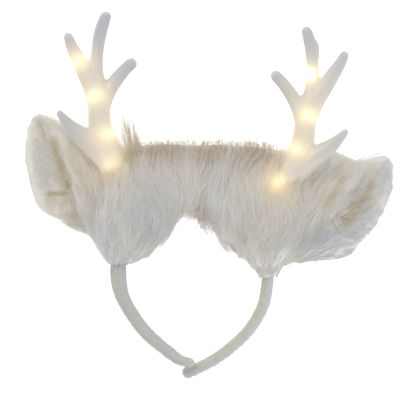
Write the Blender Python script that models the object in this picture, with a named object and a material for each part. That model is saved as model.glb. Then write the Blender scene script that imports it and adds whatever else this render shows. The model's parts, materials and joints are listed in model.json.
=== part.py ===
"""A light-up reindeer headband, lying on its back as it would on a table.

The frame has +X to the wearer's left, which is the right of a front view, +Y up the antlers
and +Z out of the headband's front. The table is z = 0. The origin is on the table, under the
middle of the band's crown. Lengths are in metres and angles in degrees.
"""

import math
from collections import namedtuple

import bmesh
import bpy
from mathutils import Matrix, Vector

for old in list(bpy.data.objects):
    bpy.data.objects.remove(old)

UP = Vector((0.0, 0.0, 1.0))

# The plush-covered band
BAND_SPAN = 0.1026
BAND_DROP = 0.1262
BAND_LIFT = 0.0200
BAND_THICKNESS = 0.0072
BAND_WIDTH = 0.0150
BAND_ROUNDNESS_SHARE = 0.75
BAND_RINGS = 46
BAND_SIDES = 10

# The long-pile wrap round the crown of the band
FUR_REACH = 0.0343
FUR_FRONT = 0.0245
FUR_BACK = 0.0240
FUR_CUFF = 0.0022
FUR_RINGS = 21
FUR_SIDES = 16
FIT_GAP = 0.0004

# Locks of long pile
LOCK_WIDTH = 0.0040
LOCK_HEIGHT = 0.0026
LOCK_LIFT = 0.0016
LOCK_SIDES = 5
LOCK_STEPS = 3

# Both ears
EAR_LENGTH = 0.0920
EAR_WIDTH = 0.0343
EAR_DEPTH = 0.0290
EAR_WALL = 0.0045
EAR_HEM = 0.0020
PROFILE_MARKS = 14
EAR_RINGS = 17
LINING_THICKNESS = 0.0022
LINING_RINGS = 11
LINING_SEAT = 0.0006
LINING_FROM_SHARE = 0.40
LINING_TO_SHARE = 0.95
LINING_MARKS = 7
SEAM_GAP = 0.0006

# Both antlers
ANTLER_HEIGHT = 0.1191
ANTLER_LIFT = 0.0340
BEAM_RADIUS = 0.00687
BEAM_FLATNESS_SHARE = 0.86
ANTLER_WALL = 0.0013
ANTLER_SIDES = 10
BORE_SIDES = 8
LEAST_BORE = 0.0011

# The string of lamps inside each antler
LAMP_RADIUS = 0.0015
WIRE_RADIUS = 0.0005
WIRE_SIDES = 5
WIRE_STEPS = 4

# A row for each stretch of the band, from the left tip over the crown to the right tip.
# across is a share of half BAND_SPAN, down of BAND_DROP, rise of BAND_LIFT, thick of
# BAND_THICKNESS and wide of BAND_WIDTH. twist turns the section, in degrees.
BandRow = namedtuple("BandRow", "across down rise thick wide twist")
BAND_ROUTE = (
    BandRow(-0.05, 0.958, 0.83, 0.88, 0.66, 0),
    BandRow(-0.15, 0.947, 0.82, 0.92, 0.70, 0),
    BandRow(-0.28, 0.913, 0.81, 0.96, 0.74, 0),
    BandRow(-0.62, 0.802, 0.80, 1.02, 0.84, 0),
    BandRow(-0.80, 0.705, 0.82, 1.02, 0.90, 6),
    BandRow(-0.93, 0.612, 0.86, 1.04, 0.95, 16),
    BandRow(-0.99, 0.527, 0.90, 1.06, 1.00, 27),
    BandRow(-1.00, 0.424, 0.94, 1.06, 1.00, 30),
    BandRow(-0.95, 0.288, 0.97, 1.00, 1.00, 16),
    BandRow(-0.75, 0.141, 1.00, 1.00, 1.00, 4),
    BandRow(-0.40, 0.036, 1.00, 1.00, 1.00, 0),
    BandRow(0.00, 0.000, 1.00, 1.00, 1.00, 0),
    BandRow(0.41, 0.025, 1.00, 1.00, 1.00, 0),
    BandRow(0.74, 0.103, 0.98, 1.00, 1.00, 0),
    BandRow(0.94, 0.223, 0.93, 1.00, 1.00, 0),
    BandRow(1.02, 0.370, 0.85, 1.00, 1.00, 0),
    BandRow(1.00, 0.516, 0.74, 1.04, 0.98, 0),
    BandRow(0.94, 0.630, 0.63, 1.06, 0.93, 0),
    BandRow(0.84, 0.712, 0.55, 1.04, 0.88, 0),
    BandRow(0.69, 0.790, 0.47, 1.00, 0.83, 0),
    BandRow(0.47, 0.867, 0.40, 0.96, 0.78, 0),
    BandRow(0.22, 0.935, 0.33, 0.98, 0.74, 0),
    BandRow(-0.05, 1.000, 0.27, 1.04, 0.70, 0),
)
CROWN = 11
LEFT_CUFF = 7.0
RIGHT_CUFF = 15.9

# A row for each section of the crown wrap. station counts the band's rows. out and inn run
# from the band's middle to the wrap's outer and inner edge, as shares of FUR_REACH, and
# front and back are shares of FUR_FRONT and FUR_BACK.
FurRow = namedtuple("FurRow", "station out_x out_y inn_x inn_y front back")
FUR_SECTIONS = (
    FurRow(7.0, -0.19, 0.00, 0.19, -0.02, 0.42, 0.40),
    FurRow(7.5, -0.40, 0.13, 0.43, -0.15, 0.62, 0.66),
    FurRow(8.0, -0.68, 0.30, 0.70, -0.13, 0.84, 0.90),
    FurRow(9.0, -0.78, 0.86, 0.68, -0.21, 1.00, 1.00),
    FurRow(10.0, -0.50, 0.98, 0.33, -0.38, 0.98, 1.00),
    FurRow(11.0, 0.00, 0.87, 0.00, -0.48, 0.92, 1.00),
    FurRow(12.0, 0.34, 0.95, -0.20, -0.62, 0.98, 1.00),
    FurRow(13.0, 0.80, 1.08, -0.48, -0.76, 1.00, 1.00),
    FurRow(14.0, 0.95, 0.80, -0.47, -0.55, 0.96, 0.98),
    FurRow(15.0, 0.58, 0.02, -0.32, -0.24, 0.78, 0.84),
    FurRow(15.5, 0.28, 0.02, -0.21, -0.14, 0.60, 0.62),
    FurRow(15.9, 0.17, 0.02, -0.17, -0.05, 0.42, 0.40),
)

# A row for each section of an ear, from its root to its tip. along is a share of
# EAR_LENGTH. The other places run across the ear as shares of EAR_WIDTH, positive towards
# the outer rim, and each high is a share of EAR_DEPTH.
EarRow = namedtuple(
    "EarRow",
    "along rim rim_high dish_high crease crease_high crest crest_high fold fold_high heel",
)
LEFT_EAR = (
    EarRow(-0.12, 0.36, 0.50, 0.72, 0.12, 0.86, -0.10, 1.00, -0.34, 0.96, -0.62),
    EarRow(0.00, 0.41, 0.50, 0.76, 0.20, 0.88, 0.00, 1.06, -0.28, 0.98, -0.60),
    EarRow(0.19, 0.61, 0.52, 0.74, 0.32, 0.70, 0.06, 1.08, -0.24, 0.94, -0.55),
    EarRow(0.31, 0.90, 0.56, 0.66, 0.31, 0.56, 0.03, 1.06, -0.26, 0.90, -0.52),
    EarRow(0.42, 1.01, 0.62, 0.30, 0.28, 0.38, -0.02, 1.02, -0.28, 0.83, -0.48),
    EarRow(0.60, 0.89, 0.66, 0.26, 0.18, 0.30, -0.12, 0.94, -0.29, 0.72, -0.42),
    EarRow(0.78, 0.67, 0.62, 0.30, 0.02, 0.34, -0.16, 0.76, -0.24, 0.56, -0.30),
    EarRow(0.88, 0.48, 0.52, 0.34, -0.01, 0.36, -0.12, 0.58, -0.16, 0.44, -0.19),
    EarRow(0.95, 0.29, 0.46, 0.36, 0.02, 0.36, -0.06, 0.44, -0.10, 0.37, -0.13),
    EarRow(1.00, 0.10, 0.38, 0.36, 0.04, 0.34, 0.00, 0.34, -0.02, 0.32, -0.05),
)
RIGHT_EAR = (
    EarRow(-0.12, 0.40, 0.42, 0.66, 0.20, 0.84, -0.04, 0.98, -0.36, 0.98, -0.78),
    EarRow(0.00, 0.58, 0.42, 0.68, 0.30, 0.84, 0.04, 0.98, -0.32, 1.00, -0.82),
    EarRow(0.20, 0.86, 0.44, 0.66, 0.40, 0.72, 0.10, 0.92, -0.30, 1.00, -0.88),
    EarRow(0.37, 1.15, 0.50, 0.60, 0.40, 0.54, 0.06, 0.90, -0.28, 0.90, -0.94),
    EarRow(0.44, 1.06, 0.56, 0.42, 0.33, 0.40, 0.02, 0.90, -0.24, 0.84, -0.96),
    EarRow(0.60, 0.97, 0.62, 0.32, 0.18, 0.32, -0.06, 0.88, -0.30, 0.72, -0.94),
    EarRow(0.72, 0.84, 0.62, 0.32, 0.02, 0.34, -0.16, 0.78, -0.34, 0.60, -0.72),
    EarRow(0.81, 0.71, 0.58, 0.32, -0.04, 0.36, -0.16, 0.66, -0.24, 0.52, -0.32),
    EarRow(0.91, 0.50, 0.50, 0.34, -0.02, 0.36, -0.10, 0.50, -0.14, 0.42, -0.19),
    EarRow(0.98, 0.30, 0.44, 0.36, 0.04, 0.36, -0.04, 0.42, -0.07, 0.36, -0.12),
    EarRow(1.02, 0.10, 0.38, 0.36, 0.04, 0.34, 0.00, 0.34, -0.02, 0.32, -0.05),
)

# Where each ear's root is, as shares of half BAND_SPAN and of BAND_DROP, the way it points
# from +X, and which side its outer rim is on. The seam is the plane where the ear is sewn to
# the wrap: across and down give a point on it, and lean its slope from upright.
EarPlace = namedtuple("EarPlace", "across down points side seam_across seam_down lean")
LEFT_EAR_PLACE = EarPlace(-1.084, 0.207, 125.0, 1, -1.13, 0.05, -11.0)
RIGHT_EAR_PLACE = EarPlace(1.138, 0.277, 35.1, -1, 1.43, 0.10, -4.0)

# A row for each bend of an antler's beam and tines, from root to tip. out is away from the
# middle of the headband and up is along the beam, as shares of ANTLER_HEIGHT. radius and
# rise, which is out of the headband's front, are shares of BEAM_RADIUS.
TineRow = namedtuple("TineRow", "out up radius rise")
BEAM = (
    TineRow(0.000, 0.000, 1.20, -0.90),
    TineRow(0.063, 0.115, 1.28, -0.40),
    TineRow(0.118, 0.242, 1.18, 0.00),
    TineRow(0.141, 0.357, 1.05, 0.10),
    TineRow(0.147, 0.473, 0.99, 0.10),
    TineRow(0.158, 0.571, 0.85, 0.05),
    TineRow(0.164, 0.674, 0.67, 0.00),
    TineRow(0.156, 0.778, 0.59, 0.00),
    TineRow(0.144, 0.859, 0.60, 0.10),
    TineRow(0.127, 0.922, 0.53, 0.25),
    TineRow(0.110, 0.968, 0.39, 0.40),
    TineRow(0.094, 0.998, 0.18, 0.50),
)
OUTER_TINE = (
    TineRow(0.161, 0.478, 0.83, 0.05),
    TineRow(0.187, 0.571, 0.84, 0.10),
    TineRow(0.228, 0.657, 0.78, 0.20),
    TineRow(0.268, 0.738, 0.69, 0.35),
    TineRow(0.303, 0.807, 0.52, 0.50),
    TineRow(0.321, 0.859, 0.34, 0.60),
    TineRow(0.327, 0.879, 0.16, 0.62),
)
INNER_TINE = (
    TineRow(0.138, 0.409, 0.80, 0.00),
    TineRow(0.121, 0.490, 0.80, -0.05),
    TineRow(0.086, 0.559, 0.70, -0.10),
    TineRow(0.040, 0.625, 0.60, -0.10),
    TineRow(-0.006, 0.677, 0.52, 0.00),
    TineRow(-0.041, 0.708, 0.42, 0.10),
    TineRow(-0.059, 0.724, 0.22, 0.15),
)
BROW_TINE = (
    TineRow(0.098, 0.156, 1.10, -0.10),
    TineRow(0.173, 0.228, 1.05, 0.10),
    TineRow(0.242, 0.288, 0.90, 0.30),
    TineRow(0.300, 0.337, 0.69, 0.50),
    TineRow(0.344, 0.386, 0.48, 0.70),
    TineRow(0.370, 0.421, 0.29, 0.85),
    TineRow(0.379, 0.438, 0.14, 0.90),
)
# The knob beside the right antler's tip
KNOB = (
    TineRow(0.158, 0.800, 0.50, 0.00),
    TineRow(0.155, 0.852, 0.58, -0.05),
    TineRow(0.154, 0.892, 0.52, -0.10),
    TineRow(0.153, 0.920, 0.36, -0.15),
    TineRow(0.152, 0.936, 0.16, -0.15),
)

# Where each antler's root is, as shares of half BAND_SPAN and of BAND_DROP, its lean
# outwards in degrees, the side that its brow tine is on, how much its tines fan out
# towards the top, and how stout it is beside BEAM_RADIUS.
AntlerPlace = namedtuple("AntlerPlace", "across down lean side fan stout")
LEFT_ANTLER_PLACE = AntlerPlace(-0.910, 0.000, 0.0, -1, 0.00, 1.00)
RIGHT_ANTLER_PLACE = AntlerPlace(1.066, 0.068, 5.2, 1, 0.06, 1.04)

# Where the lamps sit along each antler's string, in the antler's own shares.
Lamp = namedtuple("Lamp", "out up")
LEFT_LAMPS = (Lamp(0.084, 0.135), Lamp(0.108, 0.313), Lamp(0.190, 0.536), Lamp(0.268, 0.729))
RIGHT_LAMPS = (Lamp(0.024, 0.123), Lamp(0.114, 0.311), Lamp(0.167, 0.512), Lamp(0.162, 0.733))

# A row for each lock of an ear's long pile: where it starts and ends along and across.
LockRow = namedtuple("LockRow", "along across to_along to_across size")
EAR_LOCKS = (
    LockRow(0.80, -0.17, 0.56, -0.08, 0.8),
    LockRow(0.66, -0.24, 0.40, -0.16, 1.0),
    LockRow(0.62, -0.10, 0.36, 0.04, 1.0),
    LockRow(0.46, -0.22, 0.18, -0.10, 1.1),
    LockRow(0.44, -0.04, 0.20, 0.10, 1.1),
    LockRow(0.30, 0.16, 0.10, 0.24, 1.0),
    LockRow(0.28, 0.42, 0.08, 0.36, 1.0),
    LockRow(0.32, 0.66, 0.12, 0.54, 0.9),
)


def spline(rows, at):
    """The row at a fractional place between the rows of a table, on a smooth curve."""
    first = min(max(int(at), 0), len(rows) - 2)
    t = at - first
    before, start = rows[max(first - 1, 0)], rows[first]
    end, after = rows[first + 1], rows[min(first + 2, len(rows) - 1)]
    values = []
    for a, b, c, d in zip(before, start, end, after):
        bend = (2 * a - 5 * b + 4 * c - d) * t + (3 * b - a - 3 * c + d) * t * t
        values.append(b + 0.5 * t * (c - a + bend))
    return type(start)(*values)


def spread(low, high, count):
    """That many numbers, evenly spaced, with both ends."""
    return [low + (high - low) * i / (count - 1) for i in range(count)]


def rounded(value, power):
    """A sine or cosine pushed outwards, which squares off a round section."""
    return math.copysign(abs(value) ** power, value)


def new_object(name, mesh):
    made = bpy.data.objects.new(name, mesh)
    bpy.context.scene.collection.objects.link(made)
    return made


def closed_mesh(name, points, faces):
    """A mesh whose faces all point outwards."""
    mesh = bpy.data.meshes.new(name)
    mesh.from_pydata([tuple(p) for p in points], [], faces)
    shape = bmesh.new()
    shape.from_mesh(mesh)
    bmesh.ops.recalc_face_normals(shape, faces=shape.faces)
    shape.to_mesh(mesh)
    shape.free()
    return mesh


def loft(name, loops):
    """Skins closed loops of equal length, and caps both ends. Each quad is split one way."""
    size = len(loops[0])
    points = [p for loop in loops for p in loop]
    faces = []
    for i in range(len(loops) - 1):
        for k in range(size):
            a, b = i * size + k, i * size + (k + 1) % size
            c, d = b + size, a + size
            faces += [(a, b, c), (a, c, d)]
    faces.append(tuple(range(size)))
    faces.append(tuple(range(len(points) - size, len(points))))
    return closed_mesh(name, points, faces)


def combine(thing, other, operation):
    """Adds a live Boolean, for shapes that may overlap themselves. other is its hidden tool."""
    step = thing.modifiers.new(f"{operation} {other.name}", "BOOLEAN")
    step.operation = operation
    step.solver = "EXACT"
    step.object = other
    step.use_self = True
    other.hide_render = True
    other.display_type = "WIRE"


def finish(name, colour, roughness):
    """A plain material."""
    material = bpy.data.materials.new(name)
    material.use_nodes = True
    shader = material.node_tree.nodes["Principled BSDF"]
    shader.inputs["Base Color"].default_value = (*colour, 1.0)
    shader.inputs["Roughness"].default_value = roughness
    shader.inputs["Metallic"].default_value = 0.0
    return material


LONG_FUR = finish("long white pile", (0.80, 0.79, 0.77), 0.9)
SHORT_PLUSH = finish("short white plush", (0.78, 0.77, 0.75), 0.85)
BAND_PLUSH = finish("band plush", (0.74, 0.75, 0.74), 0.85)
FROSTED_PLASTIC = finish("frosted plastic", (0.86, 0.86, 0.84), 0.35)
LAMP_PLASTIC = finish("lamp resin and wire", (1.0, 0.86, 0.55), 0.3)


def dressed(thing, material):
    """Gives a piece its one material, and smooth shading with crisp hems."""
    thing.data.materials.clear()
    thing.data.materials.append(material)
    thing.data.shade_smooth()
    thing.data.set_sharp_from_angle(angle=math.radians(50))
    return thing


def band_row(station):
    return spline(BAND_ROUTE, station)


def band_half_width(row):
    """Half of the band's reach from front to back, with its twist."""
    turn = math.radians(row.twist)
    wide = row.wide * BAND_WIDTH / 2 * math.cos(turn)
    thick = row.thick * BAND_THICKNESS / 2 * math.sin(turn)
    return math.hypot(wide, thick)


def band_middle(station):
    """A point on the band's middle line. The band never sinks into the table."""
    row = band_row(station)
    height = max(row.rise * BAND_LIFT, band_half_width(row))
    return Vector((row.across * BAND_SPAN / 2, -row.down * BAND_DROP, height))


def band_outwards(station):
    """The way out of the band's loop, square to the band."""
    step = 0.05
    ahead = band_middle(station + step) - band_middle(station - step)
    return Vector((-ahead.y, ahead.x, 0.0)).normalized()


def band_loop(station, grow, shrink=1.0):
    """One section of the band, with that much room round it."""
    row, middle, out = band_row(station), band_middle(station), band_outwards(station)
    thick = (row.thick * BAND_THICKNESS / 2 + grow) * shrink
    wide = (row.wide * BAND_WIDTH / 2 + grow) * shrink
    turn = math.radians(row.twist)
    loop = []
    for k in range(BAND_SIDES):
        angle = math.tau * (k + 0.5) / BAND_SIDES
        u = thick * rounded(math.cos(angle), BAND_ROUNDNESS_SHARE)
        v = wide * rounded(math.sin(angle), BAND_ROUNDNESS_SHARE)
        side = u * math.cos(turn) - v * math.sin(turn)
        front = u * math.sin(turn) + v * math.cos(turn)
        loop.append(middle + out * side + UP * front)
    return loop


def band_mesh():
    """The band from tip to tip, with rounded ends."""
    last = len(BAND_ROUTE) - 1
    round_end = BAND_THICKNESS / 2
    loops = [band_loop(s, 0.0) for s in spread(0.0, last, BAND_RINGS)]
    for station, towards in ((0, 0.2), (last, last - 0.2)):
        away = (band_middle(station) - band_middle(towards)).normalized()
        ends = []
        for angle in (30, 55, 78):
            slide = away * round_end * math.sin(math.radians(angle))
            shrink = math.cos(math.radians(angle))
            ends.append([p + slide for p in band_loop(station, 0.0, shrink)])
        loops = ends[::-1] + loops if station == 0 else loops + ends
    return loft("headband", loops)


def band_room():
    """The channel that the band needs through the wrap."""
    stations = spread(LEFT_CUFF - 1.0, RIGHT_CUFF + 1.0, BAND_RINGS // 2)
    return loft("band_room", [band_loop(s, FIT_GAP) for s in stations])


def no_shorter(vector, least):
    return vector.normalized() * max(vector.length, least)


def fur_row(station):
    """The wrap's section at that place on the band."""
    stations = [row.station for row in FUR_SECTIONS]
    low = max(i for i, s in enumerate(stations[:-1]) if s <= max(station, stations[0]))
    share = (station - stations[low]) / (stations[low + 1] - stations[low])
    return spline(FUR_SECTIONS, low + share)


def fur_point(station, angle):
    """A point on the wrap: angle 0 is its outer edge, 90 its front and 180 its inner edge."""
    row, middle = fur_row(station), band_middle(station)
    section = band_row(station)
    least = section.thick * BAND_THICKNESS / 2 + FUR_CUFF
    deep = band_half_width(section) + FUR_CUFF
    out = no_shorter(Vector((row.out_x, row.out_y, 0.0)) * FUR_REACH, least)
    inn = no_shorter(Vector((row.inn_x, row.inn_y, 0.0)) * FUR_REACH, least)
    turn = math.radians(angle)
    side = rounded(math.cos(turn), 0.85)
    rise = rounded(math.sin(turn), 0.80)
    height = max(row.front * FUR_FRONT, deep) if rise > 0 else max(row.back * FUR_BACK, deep)
    return middle + (out + inn) / 2 + (out - inn) / 2 * side + UP * height * rise


def crown_wrap_mesh():
    loops = []
    for station in spread(LEFT_CUFF, RIGHT_CUFF, FUR_RINGS):
        loops.append([fur_point(station, 360 * k / FUR_SIDES) for k in range(FUR_SIDES)])
    return loft("crown_wrap", loops)


def lock_shape(surface, start, end, size):
    """Points and faces of one tapered lock that lies on a surface, its tip a little proud."""
    path = []
    for i in range(LOCK_STEPS + 1):
        t = i / LOCK_STEPS
        a = start[0] + (end[0] - start[0]) * t
        b = start[1] + (end[1] - start[1]) * t
        path.append((t, surface(a, b), surface(a + 0.02, b), surface(a, b + 0.02)))
    points, faces = [], []
    first_normal = (path[0][2] - path[0][1]).cross(path[0][3] - path[0][1])
    facing = math.copysign(1.0, first_normal.z)
    for i, (t, place, along, across) in enumerate(path):
        normal = (along - place).cross(across - place).normalized() * facing
        nearby = path[min(i + 1, LOCK_STEPS)][1] - path[max(i - 1, 0)][1]
        forward = nearby.normalized()
        side = forward.cross(normal).normalized()
        middle = place + normal * LOCK_LIFT * t
        if i == LOCK_STEPS:
            points.append(middle)
            break
        taper = size * math.sin(math.pi * (0.22 + 0.70 * t))
        for k in range(LOCK_SIDES):
            turn = math.tau * k / LOCK_SIDES
            wide = side * LOCK_WIDTH * math.cos(turn)
            high = normal * LOCK_HEIGHT * math.sin(turn)
            points.append(middle + (wide + high) * taper)
    for i in range(LOCK_STEPS - 1):
        for k in range(LOCK_SIDES):
            a, b = i * LOCK_SIDES + k, i * LOCK_SIDES + (k + 1) % LOCK_SIDES
            faces.append((a, b, b + LOCK_SIDES, a + LOCK_SIDES))
    tip = len(points) - 1
    last_ring = tip - LOCK_SIDES
    for k in range(LOCK_SIDES):
        faces.append((last_ring + k, last_ring + (k + 1) % LOCK_SIDES, tip))
    faces.append(tuple(range(LOCK_SIDES)))
    return points, faces


def locks_object(name, surface, rows):
    """All the locks of one fur as a single tool for its Boolean union."""
    points, faces = [], []
    for start, end, size in rows:
        more_points, more_faces = lock_shape(surface, start, end, size)
        shift = len(points)
        points += more_points
        faces += [tuple(i + shift for i in face) for face in more_faces]
    return new_object(name, closed_mesh(name, points, faces))


def wrap_lock_rows():
    """The pile falls from the outer edge over the front, and gathers towards the two cuffs."""
    rows = []
    for i, station in enumerate(spread(8.1, 14.6, 8)):
        gather = (station - CROWN) * 0.16
        for angle in (46, 92, 134):
            start = (station, angle + 10 * (i % 2))
            rows.append((start, (station + gather, start[1] + 44), 1.0))
    return rows


def half_space(name, point, facing, deep=0.5):
    """A large block whose one face holds point and looks along facing."""
    mesh = bpy.data.meshes.new(name)
    shape = bmesh.new()
    bmesh.ops.create_cube(shape, size=2 * deep)
    turn = facing.to_track_quat("Z", "Y").to_matrix().to_4x4()
    shift = Matrix.Translation(point - facing * deep)
    bmesh.ops.transform(shape, matrix=shift @ turn, verts=shape.verts)
    shape.to_mesh(mesh)
    shape.free()
    return new_object(name, mesh)


class Ear:
    """One ear: its sections from root to tip, and where it is sewn on."""

    def __init__(self, rows, place):
        self.rows = rows
        self.place = place
        turn = math.radians(place.points)
        self.forward = Vector((math.cos(turn), math.sin(turn), 0.0))
        self.across = Vector((-self.forward.y, self.forward.x, 0.0)) * place.side
        self.root = Vector((place.across * BAND_SPAN / 2, -place.down * BAND_DROP, 0.0))

    def row(self, along):
        """The section at that share of the ear's length."""
        known = [row.along for row in self.rows]
        low = max(i for i, a in enumerate(known[:-1]) if a <= max(along, known[0]))
        share = (along - known[low]) / (known[low + 1] - known[low])
        return spline(self.rows, low + share)

    def place_at(self, along, across, height):
        flat = self.root + self.forward * along * EAR_LENGTH + self.across * across
        return flat + UP * height

    def profile(self, along):
        """The ear's upper side from the outer rim to the heel, as (across, height)."""
        row = self.row(along)
        marks = [
            (row.rim, row.rim_high),
            ((row.rim + row.crease) / 2, row.dish_high),
            (row.crease, row.crease_high),
            (row.crest, row.crest_high),
            (row.fold, row.fold_high),
            (row.heel, 0.30 * row.fold_high),
        ]
        mark = namedtuple("Mark", "across high")
        marks = [mark(a * EAR_WIDTH, h * EAR_DEPTH) for a, h in marks]
        steps = spread(0, len(marks) - 1, PROFILE_MARKS)
        return [spline(marks, step) for step in steps]

    def body_loop(self, along):
        """The furred body: the dish is a wall over its back, and the flap is full."""
        top = self.profile(along)
        crease = PROFILE_MARKS * 2 // 5
        upper = [self.place_at(along, m.across, m.high) for m in top]
        lower = []
        for i in range(len(top) - 1, -1, -3):
            m = top[i]
            floor = max(m.high - EAR_WALL, 0.0) if i < crease else 0.0
            lower.append(self.place_at(along, m.across, floor))
        return upper + lower

    def body_mesh(self, name):
        places = spread(self.rows[0].along, self.rows[-1].along, EAR_RINGS)
        return loft(name, [self.body_loop(a) for a in places])

    def lining_loop(self, along, room):
        """A thin layer in the dish, from the hem at the rim up towards the crest."""
        top = self.profile(along)
        runs = [math.dist(a, b) for a, b in zip(top, top[1:])]
        start, end = EAR_HEM - room, sum(runs[:LINING_MARKS]) + room
        low, high = [], []
        for distance in spread(start, end, LINING_MARKS + 1):
            i = 0
            while distance > runs[i]:
                distance -= runs[i]
                i += 1
            share = distance / runs[i]
            across = top[i].across + (top[i + 1].across - top[i].across) * share
            high_here = top[i].high + (top[i + 1].high - top[i].high) * share
            near, far = top[max(i - 1, 0)], top[i + 2]
            tilt = Vector((near.high - far.high, far.across - near.across)).normalized()
            tilt = -tilt if tilt.y < 0 else tilt
            base = -LINING_SEAT + (0.0 if room else FIT_GAP)
            for side, lift in ((low, base), (high, base + LINING_THICKNESS + 3 * room)):
                side.append(self.place_at(along, across + tilt.x * lift, high_here + tilt.y * lift))
        return low + high[::-1]

    def lining_mesh(self, name, room=0.0):
        """The lining, or the seat that it needs in the ear."""
        places = spread(LINING_FROM_SHARE - room / EAR_LENGTH, LINING_TO_SHARE + room / EAR_LENGTH, LINING_RINGS)
        return loft(name, [self.lining_loop(a, room) for a in places])

    def surface(self, along, across):
        """A point on the ear's upper side, for laying locks on."""
        top = self.profile(along)
        target = across * EAR_WIDTH
        for a, b in zip(top, top[1:]):
            if b.across <= target <= a.across:
                share = (a.across - target) / max(a.across - b.across, 1e-9)
                return self.place_at(along, target, a.high + (b.high - a.high) * share)
        return self.place_at(along, target, top[0].high if target > 0 else top[-1].high)

    def seam(self):
        """A point on the sewing plane, and the way from the wrap to the ear."""
        place = self.place
        point = Vector((place.seam_across * BAND_SPAN / 2, -place.seam_down * BAND_DROP, 0.0))
        lean = math.radians(place.lean)
        way = Vector((math.cos(lean), math.sin(lean), 0.0)) * -place.side
        return point, way


class Antler:
    """One antler: a beam with its tines, in its own plane over the fur."""

    def __init__(self, place, tines, lamps):
        self.place = place
        self.tines = tines
        self.lamps = lamps
        self.radius = BEAM_RADIUS * place.stout
        lean = math.radians(place.lean) * place.side
        self.up = Vector((math.sin(lean), math.cos(lean), 0.0))
        self.out = Vector((self.up.y, -self.up.x, 0.0)) * place.side
        self.root = Vector((place.across * BAND_SPAN / 2, -place.down * BAND_DROP, ANTLER_LIFT))

    def point(self, row):
        out = row.out + (row.out - BEAM[4].out) * self.place.fan * row.up
        flat = self.root + (self.out * out + self.up * row.up) * ANTLER_HEIGHT
        return flat + UP * row.rise * BEAM_RADIUS

    def tube(self, name, rows, grow, sides=ANTLER_SIDES, longer=0.0):
        """A tapered tine through the rows, thicker by grow. longer extends it at its root."""
        steps = spread(0, len(rows) - 1, int(1.4 * len(rows)))
        smooth = [spline(rows, s) for s in steps]
        thick_enough = [r for r in smooth if r.radius * self.radius * BEAM_FLATNESS_SHARE + grow > LEAST_BORE]
        used = thick_enough if grow < 0 else smooth
        middles = [self.point(r) for r in used]
        loops = []
        for i, (row, middle) in enumerate(zip(used, middles)):
            forward = (middles[min(i + 1, len(used) - 1)] - middles[max(i - 1, 0)]).normalized()
            side = forward.cross(UP).normalized()
            front = side.cross(forward).normalized()
            radius = row.radius * self.radius
            if i == 0:
                middle = middle - forward * longer
            loop = []
            for k in range(sides):
                turn = math.tau * (k + 0.5) / sides
                wide = (radius + grow) * math.cos(turn)
                deep = (radius * BEAM_FLATNESS_SHARE + grow) * math.sin(turn)
                loop.append(middle + side * wide + front * deep)
            loops.append(loop)
        return new_object(name, loft(name, loops))

    def build(self, name):
        """The hollow antler, open at its root."""
        antler = self.tube(name, self.tines[0], 0.0)
        for i, rows in enumerate(self.tines[1:]):
            combine(antler, self.tube(f"{name}_tine_{i}", rows, 0.0), "UNION")
        for i, rows in enumerate(self.tines):
            longer = 4 * ANTLER_WALL if i == 0 else 0.0
            bore = self.tube(f"{name}_bore_{i}", rows, -ANTLER_WALL, BORE_SIDES, longer)
            combine(antler, bore, "DIFFERENCE")
        return antler

    def rooms(self, name):
        """The room that the beam and the brow tine need in the fur."""
        beam = self.tube(f"{name}_beam_room", self.tines[0], FIT_GAP, longer=2 * FIT_GAP)
        brow = self.tube(f"{name}_brow_room", self.tines[-1], FIT_GAP)
        return beam, brow

    def lamp_point(self, lamp):
        """A lamp's middle. It lies against the front wall of the antler's bore."""
        nearest = None
        for rows in self.tines:
            for step in spread(0, len(rows) - 1, 8 * len(rows)):
                row = spline(rows, step)
                away = math.hypot(row.out - lamp.out, row.up - lamp.up) * ANTLER_HEIGHT
                room = row.radius * self.radius - away
                if nearest is None or room > nearest[0]:
                    nearest = (room, away, row)
        _, away, row = nearest
        flats = math.cos(math.pi / BORE_SIDES)
        taken = ANTLER_WALL + LAMP_RADIUS + FIT_GAP
        wide = row.radius * self.radius * flats - taken
        deep = row.radius * self.radius * BEAM_FLATNESS_SHARE * flats - taken
        kept = min(1.0, max(wide, 0.0) / max(away, 1e-9))
        out = row.out + (lamp.out - row.out) * kept
        up = row.up + (lamp.up - row.up) * kept
        bow = math.sqrt(max(1 - (away * kept / max(wide, 1e-9)) ** 2, 0.0))
        return self.point(TineRow(out, up, 0.0, row.rise)) + UP * max(deep, 0.0) * bow

    def string_mesh(self, name):
        """The wire from the root, swelling into a round bead at each lamp."""
        root = self.point(self.tines[0][0])
        stops = [root] + [self.lamp_point(lamp) for lamp in self.lamps]
        stop = namedtuple("Stop", "x y z")
        stops = [stop(*p) for p in stops]
        loops = []
        places = []
        for i in range(len(stops) - 1):
            for step in range(WIRE_STEPS):
                places.append((Vector(spline(stops, i + step / WIRE_STEPS)), WIRE_RADIUS))
        for place in [Vector(s) for s in stops[1:]]:
            places = [p for p in places if (p[0] - place).length > 1.25 * LAMP_RADIUS]
        beads = [Vector(s) for s in stops[1:]]
        route = [p[0] for p in places]
        for bead in beads:
            nearest = min(range(len(route)), key=lambda j: (route[j] - bead).length)
            way = (bead - route[nearest]).normalized()
            before = nearest + 1
            if nearest + 1 < len(route) and (route[nearest] - route[nearest - 1]).dot(way) < 0:
                before = nearest
                way = -way
            rings = [(bead + way * LAMP_RADIUS * math.sin(math.radians(a)),
                      LAMP_RADIUS * math.cos(math.radians(a))) for a in (-70, -35, 0, 35, 70)]
            places[before:before] = rings
            route = [p[0] for p in places]
        for i, (middle, radius) in enumerate(places):
            ahead = places[min(i + 1, len(places) - 1)][0]
            behind = places[max(i - 1, 0)][0]
            forward = (ahead - behind).normalized()
            side = forward.cross(UP).normalized()
            front = side.cross(forward).normalized()
            loop = []
            for k in range(WIRE_SIDES):
                turn = math.tau * k / WIRE_SIDES
                loop.append(middle + (side * math.cos(turn) + front * math.sin(turn)) * radius)
            loops.append(loop)
        return loft(name, loops)


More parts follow.
